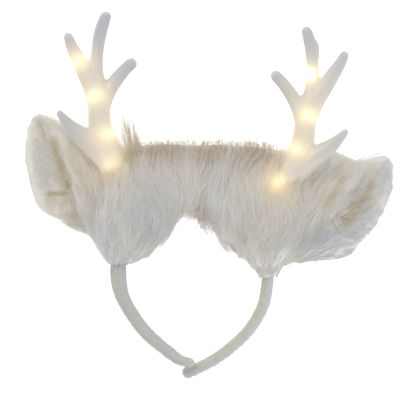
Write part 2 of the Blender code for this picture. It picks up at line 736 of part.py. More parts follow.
left_ear = Ear(LEFT_EAR, LEFT_EAR_PLACE)
right_ear = Ear(RIGHT_EAR, RIGHT_EAR_PLACE)
left_antler = Antler(LEFT_ANTLER_PLACE, (BEAM, OUTER_TINE, INNER_TINE, BROW_TINE), LEFT_LAMPS)
right_antler = Antler(
    RIGHT_ANTLER_PLACE, (BEAM, OUTER_TINE, INNER_TINE, KNOB, BROW_TINE), RIGHT_LAMPS
)

# The headband
headband = dressed(new_object("headband", band_mesh()), BAND_PLUSH)

# Tools that several pieces share
table = half_space("table_room", Vector((0, 0, 0)), UP)
band_channel = new_object("band_room", band_room())
antler_rooms = left_antler.rooms("left") + right_antler.rooms("right")

# The crown wrap
crown_wrap = dressed(new_object("crown_wrap", crown_wrap_mesh()), LONG_FUR)
wrap_locks = locks_object("wrap_locks", fur_point, wrap_lock_rows())
combine(crown_wrap, wrap_locks, "UNION")
combine(crown_wrap, table, "DIFFERENCE")
combine(crown_wrap, band_channel, "DIFFERENCE")

# The ears, each a furred body and a plush lining
for side, ear in (("left", left_ear), ("right", right_ear)):
    body = dressed(new_object(f"{side}_ear", ear.body_mesh(f"{side}_ear")), LONG_FUR)
    rows = [((r.along, r.across), (r.to_along, r.to_across), r.size) for r in EAR_LOCKS]
    locks = locks_object(f"{side}_ear_locks", ear.surface, rows)
    combine(body, locks, "UNION")
    seat = new_object(f"{side}_lining_seat", ear.lining_mesh(f"{side}_lining_seat", FIT_GAP))
    combine(body, seat, "DIFFERENCE")
    combine(body, table, "DIFFERENCE")
    lining = new_object(f"{side}_ear_lining", ear.lining_mesh(f"{side}_ear_lining"))
    dressed(lining, SHORT_PLUSH)
    point, way = ear.seam()
    wrap_side = half_space(f"{side}_wrap_side", point + way * SEAM_GAP / 2, way)
    ear_side = half_space(f"{side}_ear_side", point - way * SEAM_GAP / 2, -way)
    combine(body, wrap_side, "DIFFERENCE")
    combine(crown_wrap, ear_side, "DIFFERENCE")
    for room in antler_rooms:
        if room.name.startswith(side):
            combine(body, room, "DIFFERENCE")
            combine(lining, room, "DIFFERENCE")
            combine(crown_wrap, room, "DIFFERENCE")

# The antlers and their lamps
for side, antler in (("left", left_antler), ("right", right_antler)):
    dressed(antler.build(f"{side}_antler"), FROSTED_PLASTIC)
    string = new_object(f"{side}_lights", antler.string_mesh(f"{side}_lights"))
    dressed(string, LAMP_PLASTIC)
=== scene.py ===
# %% [markdown]
# # A light-up reindeer headband, dressed for its picture
#
# The real headband is a plush-covered band with a wrap of long white pile round its crown, two
# floppy ears and two frosted antlers with warm lamps inside. It lies on its back and is seen
# from straight above. The imported model gives every piece its place and size. This script gives
# each one its soft form, its hair and its finish.

# %% The frame and its bodies
import json
import math
from collections import namedtuple

import bmesh
import bpy
import numpy as np
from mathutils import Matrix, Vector, noise
from mathutils.bvhtree import BVHTree

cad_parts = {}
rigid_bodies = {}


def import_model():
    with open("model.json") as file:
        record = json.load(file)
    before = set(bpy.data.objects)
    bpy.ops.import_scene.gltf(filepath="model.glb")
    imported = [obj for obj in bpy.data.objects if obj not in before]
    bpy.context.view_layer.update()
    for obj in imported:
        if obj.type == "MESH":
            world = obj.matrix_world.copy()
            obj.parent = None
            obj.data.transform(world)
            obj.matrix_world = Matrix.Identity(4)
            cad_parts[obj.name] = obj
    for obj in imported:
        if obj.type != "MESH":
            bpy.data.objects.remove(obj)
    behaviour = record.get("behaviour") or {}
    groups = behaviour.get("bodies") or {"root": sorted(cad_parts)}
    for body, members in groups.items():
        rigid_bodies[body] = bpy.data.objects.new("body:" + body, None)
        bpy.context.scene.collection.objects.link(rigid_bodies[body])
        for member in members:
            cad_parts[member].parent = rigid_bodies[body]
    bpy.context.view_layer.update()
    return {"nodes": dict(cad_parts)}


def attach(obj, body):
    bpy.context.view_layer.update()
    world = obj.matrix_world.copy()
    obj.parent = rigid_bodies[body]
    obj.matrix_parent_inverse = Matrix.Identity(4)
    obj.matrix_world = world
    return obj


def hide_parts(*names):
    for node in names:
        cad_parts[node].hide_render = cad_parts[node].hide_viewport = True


for old in list(bpy.data.objects):
    bpy.data.objects.remove(old)
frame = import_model()
MM = 0.001
FLOOR_GAP = 0.3 * MM
UP, DOWN = Vector((0, 0, 1)), Vector((0, 0, -1))

# %% [markdown]
# ## Writing node trees as sums
#
# A finish is easier to read as a sum than as a web of nodes. One small class wraps a socket, and
# its operators add Math nodes. Every other node comes from one method, `add`, which takes the
# node's type, its settings and what goes into its sockets. The same class serves materials and
# Geometry Nodes, because both kinds of tree share the Math node.

# %% A socket that sums can be written with
class Wire:
    """An output socket of a node tree."""

    def __init__(self, tree, socket):
        self.tree = tree
        self.socket = socket

    def math(self, operation, first, second):
        node = self.tree.nodes.new("ShaderNodeMath")
        node.operation = operation
        plug(self.tree, node.inputs[0], first)
        plug(self.tree, node.inputs[1], second)
        return Wire(self.tree, node.outputs[0])

    def __add__(self, other):
        return self.math("ADD", self, other)

    def __sub__(self, other):
        return self.math("SUBTRACT", self, other)

    def __rsub__(self, other):
        return self.math("SUBTRACT", other, self)

    def __mul__(self, other):
        return self.math("MULTIPLY", self, other)

    def __truediv__(self, other):
        return self.math("DIVIDE", self, other)

    def __rtruediv__(self, other):
        return self.math("DIVIDE", other, self)

    def __pow__(self, other):
        return self.math("POWER", self, other)

    def most(self, other):
        return self.math("MINIMUM", self, other)

    def least(self, other):
        return self.math("MAXIMUM", self, other)

    __radd__ = __add__
    __rmul__ = __mul__


def plug(tree, slot, value):
    """Links a wire to a socket, or sets the socket's own value."""
    if isinstance(value, Wire):
        tree.links.new(value.socket, slot)
    elif value is not None:
        slot.default_value = value


class Tree:
    """A node tree, and the one way to add a node to it."""

    def __init__(self, tree):
        self.tree = tree

    def add(self, kind, values=None, out=None, **settings):
        """Adds a node with its settings and values, and gives the wire of its output."""
        node = self.tree.nodes.new(kind)
        for name, value in settings.items():
            setattr(node, name, value)
        for name, value in (values or {}).items():
            plug(self.tree, in_use(node.inputs, name), value)
        return Wire(self.tree, in_use(node.outputs, out) if out else node.outputs[0])

    def mix(self, share, first, second):
        """A colour between two."""
        values = {"Factor": share, "A": colour(first), "B": colour(second)}
        return self.add("ShaderNodeMix", values, "Result", data_type="RGBA", clamp_factor=True)

    def vector(self, operation, first, second=None, scale=None, out="Vector"):
        """A Vector Math node."""
        values = {0: first}
        if second is not None:
            values[1] = second
        if scale is not None:
            values["Scale"] = scale
        return self.add("ShaderNodeVectorMath", values, out, operation=operation)

    def off_floor(self, geometry):
        """The geometry with every point that sank into the floor lifted out."""
        place = self.add("GeometryNodeInputPosition")
        x, y, z = (self.add("ShaderNodeSeparateXYZ", {"Vector": place}, axis) for axis in "XYZ")
        lifted = self.add("ShaderNodeCombineXYZ", {"X": x, "Y": y, "Z": z.least(FLOOR_GAP)})
        return self.add("GeometryNodeSetPosition", {"Geometry": geometry, "Position": lifted})

    def number(self, name):
        """A number stored on the mesh, for a material."""
        return self.add("ShaderNodeAttribute", out="Fac", attribute_name=name)


def in_use(sockets, name):
    """The socket with that number, or the one in use with that name."""
    if isinstance(name, int):
        return sockets[name]
    return next(s for s in sockets if s.name == name and s.enabled)


def colour(value):
    """Three numbers as a socket's four. A wire stays as it is."""
    return value if isinstance(value, Wire) else (*value, 1.0)


print("node helpers ready")

# %% [markdown]
# ## The table, the light and the camera
#
# The picture is a catalogue one: an even white ground and soft light from every side. A large
# white floor under an even sky gives that. Two broad lamps add a little shape, a warm one from
# above the antlers and a cool one from the lower right. The camera looks straight down through
# a long lens, so nothing leans.

# %% The floor
PIXEL = 0.6865 * MM
FRAME_WIDTH = 400 * PIXEL
VIEW_CENTRE = Vector((7 * PIXEL, -13 * PIXEL, 22 * MM))

scene = bpy.context.scene
scene.view_settings.view_transform = "Standard"


def new_mesh_object(name, mesh):
    made = bpy.data.objects.new(name, mesh)
    scene.collection.objects.link(made)
    return made


def plain_finish(name, values):
    """A new material with values in its shader's sockets, that shader, and the tree."""
    material = bpy.data.materials.new(name)
    material.use_nodes = True
    shader = material.node_tree.nodes["Principled BSDF"]
    for label, value in values.items():
        shader.inputs[label].default_value = value
    return material, shader, Tree(material.node_tree)


FLOOR_EDGE = 3.0
CORNERS = ((-1, -1), (1, -1), (1, 1), (-1, 1))
floor_mesh = bpy.data.meshes.new("floor")
floor_mesh.from_pydata([(FLOOR_EDGE * x, FLOOR_EDGE * y, 0) for x, y in CORNERS], [], [(0, 1, 2, 3)])
floor = new_mesh_object("floor", floor_mesh)
white_table = {
    "Base Color": (0.93, 0.93, 0.93, 1),
    "Roughness": 0.9,
    "Specular IOR Level": 0.0,
    "Emission Color": (1, 1, 1, 1),
    "Emission Strength": 0.6,
}
floor_mesh.materials.append(plain_finish("white table", white_table)[0])
print("floor:", 2 * FLOOR_EDGE, "m wide")

# %% The lights
world = bpy.data.worlds.new("even sky")
scene.world = world
world.use_nodes = True
sky = world.node_tree.nodes["Background"]
sky.inputs["Color"].default_value = (1.0, 1.0, 1.0, 1)
sky.inputs["Strength"].default_value = 0.62


def broad_light(name, place, size, watts, tint):
    """A square area light that faces the middle of the headband."""
    data = bpy.data.lights.new(name, "AREA")
    data.size = size
    data.energy = watts
    data.color = tint
    light = bpy.data.objects.new(name, data)
    light.location = place
    light.rotation_euler = (-Vector(place)).to_track_quat("-Z", "Y").to_euler()
    scene.collection.objects.link(light)


broad_light("warm light", (-0.5, 0.9, 1.1), size=0.9, watts=9.0, tint=(1.0, 0.97, 0.92))
broad_light("cool light", (0.9, -0.8, 0.9), size=0.8, watts=6.0, tint=(0.90, 0.95, 1.0))
print("lights:", [o.name for o in scene.objects if o.type == "LIGHT"])

# %% The camera
LENS, SENSOR_WIDTH = 300.0, 36.0
FARTHEST_SEEN = 20.0
camera = bpy.data.objects.new("camera", bpy.data.cameras.new("camera"))
camera.data.lens = LENS
camera.data.sensor_width = SENSOR_WIDTH
camera.data.clip_end = FARTHEST_SEEN
camera.location = VIEW_CENTRE + Vector((0, 0, FRAME_WIDTH * LENS / SENSOR_WIDTH))
scene.collection.objects.link(camera)
scene.camera = camera
print("camera height in mm:", round(camera.location.z / MM))

# %% [markdown]
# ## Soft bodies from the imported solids
#
# The wrap, the ears and their linings are padded cloth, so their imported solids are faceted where
# the real ones are soft. A copy of each solid is turned into an even skin of small faces, and
# the skin is then relaxed: each point moves towards the middle of its neighbours. That keeps the
# place and the size of the solid and takes its hard edges away.

# %% Copy, remesh and relax
def merged_copy(node):
    """The mesh of a CAD node with its loose triangles joined."""
    mesh = frame["nodes"][node].data.copy()
    shape = bmesh.new()
    shape.from_mesh(mesh)
    bmesh.ops.remove_doubles(shape, verts=shape.verts, dist=1e-6)
    shape.to_mesh(mesh)
    shape.free()
    return mesh


def applied(thing):
    """The mesh of an object with its modifiers applied."""
    graph = bpy.context.evaluated_depsgraph_get()
    return bpy.data.meshes.new_from_object(thing.evaluated_get(graph), depsgraph=graph)


def discard(thing):
    mesh = thing.data
    bpy.data.objects.remove(thing)
    bpy.data.meshes.remove(mesh)


def even_skin(mesh, face_size):
    """One closed skin of even faces over a mesh, which may overlap itself."""
    rough = new_mesh_object("rough", mesh)
    step = rough.modifiers.new("even", "REMESH")
    step.mode = "VOXEL"
    step.voxel_size = face_size
    skin = applied(rough)
    discard(rough)
    return skin


def numbers_of(items, name, width=3):
    """One property of every point or face of a mesh, a row of numbers for each."""
    flat = np.empty(width * len(items))
    items.foreach_get(name, flat)
    return flat.reshape(-1, width)


def points_of(mesh):
    return numbers_of(mesh.vertices, "co")


def normals_of(mesh):
    return numbers_of(mesh.vertices, "normal")


def move_points(mesh, points):
    mesh.vertices.foreach_set("co", points.ravel())
    mesh.update()


def relaxed(mesh, rounds, share=0.5):
    """The points of a mesh after each has moved towards its neighbours, that many times."""
    ends = np.empty(2 * len(mesh.edges), dtype=np.int64)
    mesh.edges.foreach_get("vertices", ends)
    ends = ends.reshape(-1, 2)
    points = points_of(mesh)
    count = np.bincount(ends.ravel(), minlength=len(points))
    for _ in range(rounds):
        for axis in range(3):
            total = np.bincount(ends[:, 0], points[ends[:, 1], axis], len(points))
            total += np.bincount(ends[:, 1], points[ends[:, 0], axis], len(points))
            points[:, axis] += share * (total / count - points[:, axis])
    return points


print("soft body helpers ready")

# %% [markdown]
# ## Folds and their painted shade
#
# The ears are cloth, creased where they were sewn and packed. Each fold is a row of a table: a
# line across the ear as seen from above, with its depth, its width and how much shade is painted
# into its pile. A point of the skin sinks by how near it is to the line.

# %% The table of folds, in millimetres
Fold = namedtuple("Fold", "line depth width shade")
LEFT_FOLDS = (
    Fold(((-94.8, 31.0), (-91.6, 20.0), (-88.6, 10.0), (-85.0, 1.0)), 2.2, 2.4, 1.2),
    Fold(((-84.4, -1.0), (-77.6, -11.0), (-70.7, -20.0), (-62.0, -33.0)), 1.0, 2.0, 0.55),
    Fold(((-87.2, 25.4), (-80.3, 10.3), (-72.1, -3.4), (-62.5, -19.2)), 0.9, 2.0, 0.35),
    Fold(((-107.1, 46.0), (-104.3, 40.5), (-102.5, 35.0)), 1.0, 1.5, 0.6),
    Fold(((-99.0, -5.2), (-92.7, -5.2), (-87.0, -4.4)), 1.7, 1.6, 0.9),
    Fold(((-81.0, -12.4), (-74.8, -22.7), (-71.0, -29.5)), 0.6, 4.0, 0.4),
    Fold(((-68.0, -6.0), (-60.0, -18.0), (-54.5, -32.0)), 0.6, 1.6, 0.2),
)
RIGHT_FOLDS = (
    Fold(((121.5, 1.0), (118.0, -5.5), (112.5, -13.0), (105.0, -20.5)), 0.4, 3.4, 0.85),
    Fold(((103.5, 7.5), (99.5, 0.0), (94.7, -6.9), (91.0, -11.5)), 1.0, 2.3, 0.8),
    Fold(((86.0, -21.0), (95.0, -22.0), (103.0, -21.5)), 0.7, 1.5, 0.4),
    Fold(((104.0, -20.0), (103.0, -26.0)), 0.8, 2.4, 0.7),
    Fold(((82.0, 4.0), (88.0, -6.0), (92.0, -14.0)), 0.5, 1.8, 0.2),
)
# A fold's painted shade spreads a little wider than the fold itself.
SHADE_SPREAD = 1.25


def distance_to_line(places, line):
    """How far each place, seen from above, is from a line of several stretches."""
    nearest = np.full(len(places), np.inf)
    for start, end in zip(line, line[1:]):
        start, run = np.array(start) * MM, (np.array(end) - np.array(start)) * MM
        share = np.clip((places[:, :2] - start) @ run / (run @ run), 0, 1)
        gap = places[:, :2] - start - share[:, None] * run
        nearest = np.minimum(nearest, np.hypot(gap[:, 0], gap[:, 1]))
    return nearest


def fold_depth_and_shade(places, folds):
    """How deep each place lies in the folds, and how much shade is painted there."""
    depth, shade = np.zeros(len(places)), np.zeros(len(places))
    for fold in folds:
        near = distance_to_line(places, fold.line) / (fold.width * MM)
        depth += fold.depth * MM * np.exp(-(near**2))
        shade = np.maximum(shade, fold.shade * np.exp(-((near / SHADE_SPREAD) ** 2)))
    return depth, shade


print("folds:", len(LEFT_FOLDS), "left,", len(RIGHT_FOLDS), "right")

# %% The pelts
FACING_GAIN = 1.5


def set_number(mesh, name, values):
    """Stores a number at each point, for a finish or a node tree to read."""
    layer = mesh.attributes.get(name) or mesh.attributes.new(name, "FLOAT", "POINT")
    layer.data.foreach_set("value", np.asarray(values, dtype=np.float32))


def joined(*meshes):
    """Several meshes as one, which are then no longer wanted by themselves."""
    shape = bmesh.new()
    for mesh in meshes:
        shape.from_mesh(mesh)
        bpy.data.meshes.remove(mesh)
    whole = bpy.data.meshes.new("joined")
    shape.to_mesh(whole)
    shape.free()
    return whole


def soft_body(name, nodes, face_size, rounds, folds=(), shrink=0.0):
    """A padded piece in the place of its CAD solids, drawn in a little for the hair over it."""
    mesh = even_skin(joined(*(merged_copy(node) for node in nodes)), face_size * MM)
    move_points(mesh, relaxed(mesh, rounds))
    points, normals = points_of(mesh), normals_of(mesh)
    depth, shade = fold_depth_and_shade(points, folds)
    facing_up = np.clip(normals[:, 2] * FACING_GAIN, 0, 1)
    points -= normals * shrink * MM
    points[:, 2] -= depth * facing_up
    points[:, 2] = np.maximum(points[:, 2], FLOOR_GAP)
    mesh.name = name
    move_points(mesh, points)
    # The folds' painted shade, laid only on the side that faces up.
    set_number(mesh, "shade", shade * facing_up)
    mesh.shade_smooth()
    piece = new_mesh_object(name, mesh)
    print(name, "has", len(mesh.polygons), "faces")
    return piece


crown_pelt = soft_body("crown_pelt", ("crown_wrap",), 1.9, 7, shrink=0.9)
left_pelt = soft_body("left_ear_pelt", ("left_ear", "left_ear_lining"), 1.35, 11, LEFT_FOLDS, -1.2)
right_pelt = soft_body("right_ear_pelt", ("right_ear", "right_ear_lining"), 1.35, 11, RIGHT_FOLDS, -1.4)

# %% [markdown]
# The plush in the hollow of each ear is sewn down all round. Its skin is laid onto the ear's
# own soft surface, a quarter of a millimetre proud of it, and its edges sink in. So no hard
# step shows where one cloth meets the other.

# %% The plush in the ears' hollows
PLUSH_FACE = 0.8 * MM
PROUD, TUCKED_IN = 0.25 * MM, 1.4 * MM


def tree_over(*meshes):
    """Several meshes as one search tree."""
    points, faces = [], []
    for mesh in meshes:
        shift = len(points)
        points += [v.co.copy() for v in mesh.vertices]
        faces += [tuple(i + shift for i in f.vertices) for f in mesh.polygons]
    return BVHTree.FromPolygons(points, faces)


def laid_on(name, node, pelt):
    """A thin piece pressed onto a pelt, a little proud of it and tucked in at its edges."""
    mesh = even_skin(merged_copy(node), PLUSH_FACE)
    points = relaxed(mesh, 6)
    tree = tree_over(pelt.data)
    for i, point in enumerate(points):
        near, normal, _, _ = tree.find_nearest(Vector(point))
        height = (Vector(point) - near).dot(normal)
        points[i] = near + normal * min(max(height, -TUCKED_IN), PROUD)
    move_points(mesh, points)
    move_points(mesh, relaxed(mesh, 2))
    mesh.name = name
    mesh.shade_smooth()
    piece = new_mesh_object(name, mesh)
    print(name, "has", len(mesh.polygons), "faces")
    return piece


left_plush = laid_on("left_ear_plush", "left_ear_lining", left_pelt)
right_plush = laid_on("right_ear_plush", "right_ear_lining", right_pelt)

# %% [markdown]
# ## The band's cover and the antlers
#
# Both are tubes that change size as they go. A table says where each bend is, and a smooth
# curve through its rows gives as many rings as wanted. The band is one tube. An antler is
# several that meet, so they are melted into one skin, hollowed by a thinner copy of the same
# tubes, and relaxed where they join, as a moulding is.

# %% A smooth curve through a table, and a tube along it
def spline(rows, at):
    """The row at a fractional place between the rows of a table, on a smooth curve."""
    first = min(max(int(at), 0), len(rows) - 2)
    t = at - first
    before, start = rows[max(first - 1, 0)], rows[first]
    end, after = rows[first + 1], rows[min(first + 2, len(rows) - 1)]
    values = []
    for a, b, c, d in zip(before, start, end, after):
        bend = (2 * a - 5 * b + 4 * c - d) * t + (3 * b - a - 3 * c + d) * t * t
        values.append(b + 0.5 * t * (c - a + bend))
    return type(start)(*values)


def closed_tube(name, loops):
    """Joins closed loops of points in order, and closes each end with a fan to its middle."""
    size, points = len(loops[0]), [p for loop in loops for p in loop]
    faces = []
    for i in range(len(loops) - 1):
        for k in range(size):
            a, b = i * size + k, i * size + (k + 1) % size
            faces.append((a, b, b + size, a + size))
    for first in (0, len(points) - size):
        middle = len(points)
        ring = points[first : first + size]
        points.append(sum(ring, Vector()) / size)
        faces += [(first + k, first + (k + 1) % size, middle) for k in range(size)]
    mesh = bpy.data.meshes.new(name)
    mesh.from_pydata([tuple(p) for p in points], [], faces)
    shape = bmesh.new()
    shape.from_mesh(mesh)
    bmesh.ops.recalc_face_normals(shape, faces=shape.faces)
    shape.to_mesh(mesh)
    shape.free()
    return mesh


print("tube helpers ready")

# %% The band's cover
BandRow = namedtuple("BandRow", "across down rise thick wide twist")
BAND_SPAN, BAND_DROP, BAND_LIFT = 102.6 * MM, 126.2 * MM, 20.0 * MM
BAND_THICKNESS, BAND_WIDTH = 7.2 * MM, 15.0 * MM
BAND_ROUTE = (
    BandRow(-0.05, 0.958, 0.83, 0.88, 0.66, 0),
    BandRow(-0.15, 0.947, 0.82, 0.92, 0.70, 0),
    BandRow(-0.28, 0.914, 0.81, 1.04, 0.74, 0),
    BandRow(-0.61, 0.802, 0.80, 1.16, 0.84, 0),
    BandRow(-0.795, 0.705, 0.82, 1.16, 0.90, 6),
    BandRow(-0.93, 0.612, 0.86, 1.14, 0.95, 16),
    BandRow(-0.99, 0.527, 0.90, 1.12, 1.00, 27),
    BandRow(-1.00, 0.424, 0.94, 1.06, 1.00, 30),
    BandRow(-0.95, 0.288, 0.97, 1.00, 1.00, 16),
    BandRow(-0.75, 0.141, 1.00, 1.00, 1.00, 4),
    BandRow(-0.40, 0.036, 1.00, 1.00, 1.00, 0),
    BandRow(0.00, 0.000, 1.00, 1.00, 1.00, 0),
    BandRow(0.41, 0.025, 1.00, 1.00, 1.00, 0),
    BandRow(0.74, 0.103, 0.98, 1.00, 1.00, 0),
    BandRow(0.94, 0.223, 0.93, 1.00, 1.00, 0),
    BandRow(1.02, 0.370, 0.85, 1.00, 1.00, 0),
    BandRow(1.00, 0.516, 0.74, 1.04, 0.98, 0),
    BandRow(0.955, 0.630, 0.63, 1.06, 0.93, 0),
    BandRow(0.862, 0.714, 0.55, 1.04, 0.88, 0),
    BandRow(0.715, 0.799, 0.47, 1.02, 0.83, 0),
    BandRow(0.50, 0.881, 0.40, 1.02, 0.78, 0),
    BandRow(0.25, 0.953, 0.33, 1.02, 0.74, 0),
    BandRow(-0.07, 1.016, 0.27, 1.06, 0.70, 0),
)
BAND_RINGS, BAND_SIDES = 150, 28
SQUARENESS = 0.75
AHEAD = 0.05
CAP_ANGLES = (15, 30, 45, 60, 72, 82)
CAP_AIM = 0.2


def band_middle(station):
    """The middle of the band there, never so low that the band would cut the floor."""
    row = spline(BAND_ROUTE, station)
    turn = math.radians(row.twist)
    thick, wide = row.thick * BAND_THICKNESS / 2, row.wide * BAND_WIDTH / 2
    reach = math.hypot(wide * math.cos(turn), thick * math.sin(turn))
    height = max(row.rise * BAND_LIFT, reach)
    return Vector((row.across * BAND_SPAN / 2, -row.down * BAND_DROP, height))


def band_loop(station, shrink=1.0):
    """One section of the band, an oval with flattened sides that turns with the row's twist."""
    row = spline(BAND_ROUTE, station)
    ahead = band_middle(station + AHEAD) - band_middle(station - AHEAD)
    outwards = Vector((-ahead.y, ahead.x, 0.0)).normalized()
    turn = math.radians(row.twist)
    loop = []
    for k in range(BAND_SIDES):
        angle = math.tau * k / BAND_SIDES
        u = math.copysign(abs(math.cos(angle)) ** SQUARENESS, math.cos(angle))
        v = math.copysign(abs(math.sin(angle)) ** SQUARENESS, math.sin(angle))
        u *= shrink * row.thick * BAND_THICKNESS / 2
        v *= shrink * row.wide * BAND_WIDTH / 2
        side = u * math.cos(turn) - v * math.sin(turn)
        front = u * math.sin(turn) + v * math.cos(turn)
        loop.append(band_middle(station) + outwards * side + UP * front)
    return loop


last = len(BAND_ROUTE) - 1
loops = [band_loop(last * i / (BAND_RINGS - 1)) for i in range(BAND_RINGS)]
for station, inwards in ((0, CAP_AIM), (last, last - CAP_AIM)):
    away = (band_middle(station) - band_middle(inwards)).normalized() * BAND_THICKNESS / 2
    ends = []
    for degrees in CAP_ANGLES:
        angle = math.radians(degrees)
        ends.append([p + away * math.sin(angle) for p in band_loop(station, math.cos(angle))])
    loops = ends[::-1] + loops if station == 0 else loops + ends
band_cover = new_mesh_object("band_cover", closed_tube("band_cover", loops))
band_cover.data.shade_smooth()
print("band cover:", len(band_cover.data.polygons), "faces")

# %% The antlers' bends
TineRow = namedtuple("TineRow", "out up radius rise")
ANTLER_HEIGHT, ANTLER_LIFT, BEAM_RADIUS = 119.1 * MM, 34.0 * MM, 6.87 * MM
FLATNESS, WALL = 0.86, 1.3 * MM
BEAM = (
    TineRow(-0.010, 0.000, 1.34, -0.90),
    TineRow(0.052, 0.115, 1.42, -0.40),
    TineRow(0.115, 0.242, 1.21, 0.00),
    TineRow(0.141, 0.357, 1.05, 0.10),
    TineRow(0.147, 0.473, 0.99, 0.10),
    TineRow(0.158, 0.571, 0.85, 0.05),
    TineRow(0.164, 0.674, 0.67, 0.00),
    TineRow(0.156, 0.778, 0.59, 0.00),
    TineRow(0.144, 0.859, 0.62, 0.10),
    TineRow(0.127, 0.922, 0.60, 0.25),
    TineRow(0.110, 0.968, 0.54, 0.40),
    TineRow(0.098, 0.989, 0.44, 0.47),
    TineRow(0.091, 1.001, 0.24, 0.51),
)
OUTER_TINE = (
    TineRow(0.161, 0.478, 0.83, 0.05),
    TineRow(0.187, 0.571, 0.84, 0.10),
    TineRow(0.228, 0.657, 0.78, 0.20),
    TineRow(0.268, 0.738, 0.69, 0.35),
    TineRow(0.303, 0.807, 0.56, 0.50),
    TineRow(0.320, 0.855, 0.47, 0.60),
    TineRow(0.326, 0.872, 0.38, 0.62),
    TineRow(0.329, 0.883, 0.20, 0.63),
)
INNER_TINE = (
    TineRow(0.138, 0.409, 0.80, 0.00),
    TineRow(0.121, 0.490, 0.80, -0.05),
    TineRow(0.086, 0.559, 0.70, -0.10),
    TineRow(0.040, 0.625, 0.64, -0.10),
    TineRow(-0.006, 0.677, 0.58, 0.00),
    TineRow(-0.041, 0.708, 0.56, 0.10),
    TineRow(-0.054, 0.719, 0.46, 0.13),
    TineRow(-0.064, 0.727, 0.24, 0.16),
)
BROW_TINE = (
    TineRow(0.098, 0.156, 1.10, -0.10),
    TineRow(0.173, 0.228, 1.05, 0.10),
    TineRow(0.242, 0.288, 0.90, 0.30),
    TineRow(0.300, 0.337, 0.69, 0.50),
    TineRow(0.344, 0.386, 0.48, 0.70),
    TineRow(0.370, 0.421, 0.33, 0.85),
    TineRow(0.379, 0.438, 0.24, 0.90),
)
KNOB = (
    TineRow(0.158, 0.800, 0.50, 0.00),
    TineRow(0.155, 0.852, 0.58, -0.05),
    TineRow(0.154, 0.892, 0.52, -0.10),
    TineRow(0.153, 0.920, 0.42, -0.15),
    TineRow(0.152, 0.936, 0.30, -0.15),
)
AntlerPlace = namedtuple("AntlerPlace", "across down lean side fan stout")
LEFT_ANTLER_PLACE = AntlerPlace(-0.910, 0.000, 0.0, -1, 0.00, 1.12)
RIGHT_ANTLER_PLACE = AntlerPlace(1.066, 0.068, 5.2, 1, 0.06, 1.09)
print("rows along a beam:", len(BEAM))

# %% The antlers' tubes, melted together and hollowed
TUBE_SIDES = 24
RINGS_A_ROW = 9
FAN_FROM = BEAM[4].out
LEAST_BORE = 0.5 * MM
OPEN_ROOT = 6 * MM
SHELL_FACE, BORE_FACE = 1.05 * MM, 1.3 * MM


def antler_tube(place, rows, thinner=0.0, longer=0.0):
    """A tapered tube through one tine's rows, made thinner for a bore."""
    lean = math.radians(place.lean) * place.side
    up = Vector((math.sin(lean), math.cos(lean), 0.0))
    out = Vector((up.y, -up.x, 0.0)) * place.side
    root = Vector((place.across * BAND_SPAN / 2, -place.down * BAND_DROP, ANTLER_LIFT))
    count = RINGS_A_ROW * len(rows)
    smooth = [spline(rows, (len(rows) - 1) * i / (count - 1)) for i in range(count)]
    middles, radii = [], []
    for row in smooth:
        radius = row.radius * BEAM_RADIUS * place.stout
        if radius * FLATNESS - thinner > LEAST_BORE or not thinner:
            shift = row.out + (row.out - FAN_FROM) * place.fan * row.up
            flat = root + (out * shift + up * row.up) * ANTLER_HEIGHT
            middles.append(flat + Vector((0, 0, row.rise * BEAM_RADIUS)))
            radii.append(radius)
    loops = []
    for i, (middle, radius) in enumerate(zip(middles, radii)):
        ahead = middles[min(i + 1, len(middles) - 1)] - middles[max(i - 1, 0)]
        ahead.normalize()
        side = ahead.cross(UP).normalized()
        front = side.cross(ahead)
        centre = middle - ahead * longer if i == 0 else middle
        loop = []
        for k in range(TUBE_SIDES):
            turn = math.tau * k / TUBE_SIDES
            wide, deep = radius - thinner, radius * FLATNESS - thinner
            loop.append(centre + side * wide * math.cos(turn) + front * deep * math.sin(turn))
        loops.append(loop)
    return loops


def melted(tubes, face_size):
    """One smooth skin over several tubes."""
    skin = even_skin(joined(*(closed_tube("tube", loops) for loops in tubes)), face_size)
    move_points(skin, relaxed(skin, 3))
    return skin


def antler_shell(name, place, tines):
    """A hollow antler with a smooth skin inside and out, open at its root."""
    outside = melted([antler_tube(place, rows) for rows in tines], SHELL_FACE)
    bores = [antler_tube(place, tines[0], WALL, OPEN_ROOT)]
    bores += [antler_tube(place, rows, WALL) for rows in tines[1:]]
    bore = new_mesh_object("bore", melted(bores, BORE_FACE))
    shell = new_mesh_object("solid antler", outside)
    step = shell.modifiers.new("hollow", "BOOLEAN")
    step.operation, step.solver, step.object = "DIFFERENCE", "EXACT", bore
    mesh = applied(shell)
    discard(shell)
    discard(bore)
    mesh.name = name
    mesh.shade_smooth()
    print(name, "has", sum(len(f.vertices) - 2 for f in mesh.polygons), "triangles")
    return new_mesh_object(name, mesh)


left_shell = antler_shell(
    "left_antler_shell", LEFT_ANTLER_PLACE, (BEAM, OUTER_TINE, INNER_TINE, BROW_TINE)
)
right_shell = antler_shell(
    "right_antler_shell", RIGHT_ANTLER_PLACE, (BEAM, OUTER_TINE, INNER_TINE, KNOB, BROW_TINE)
)

# %% [markdown]
# ## Long pile, lock by lock
#
# A strand follows the lie of the pile. The pile falls from the top of the headband and gathers
# where the band leaves the wrap on each side, so the way it lies at any place can be worked out
# from where that place is. A few thousand guide lines walk over the soft bodies that way. A
# Geometry Nodes tree then makes a lock of fine strands round each one. Strands differ in length
# and place, and a little noise keeps them from lying in parallel.

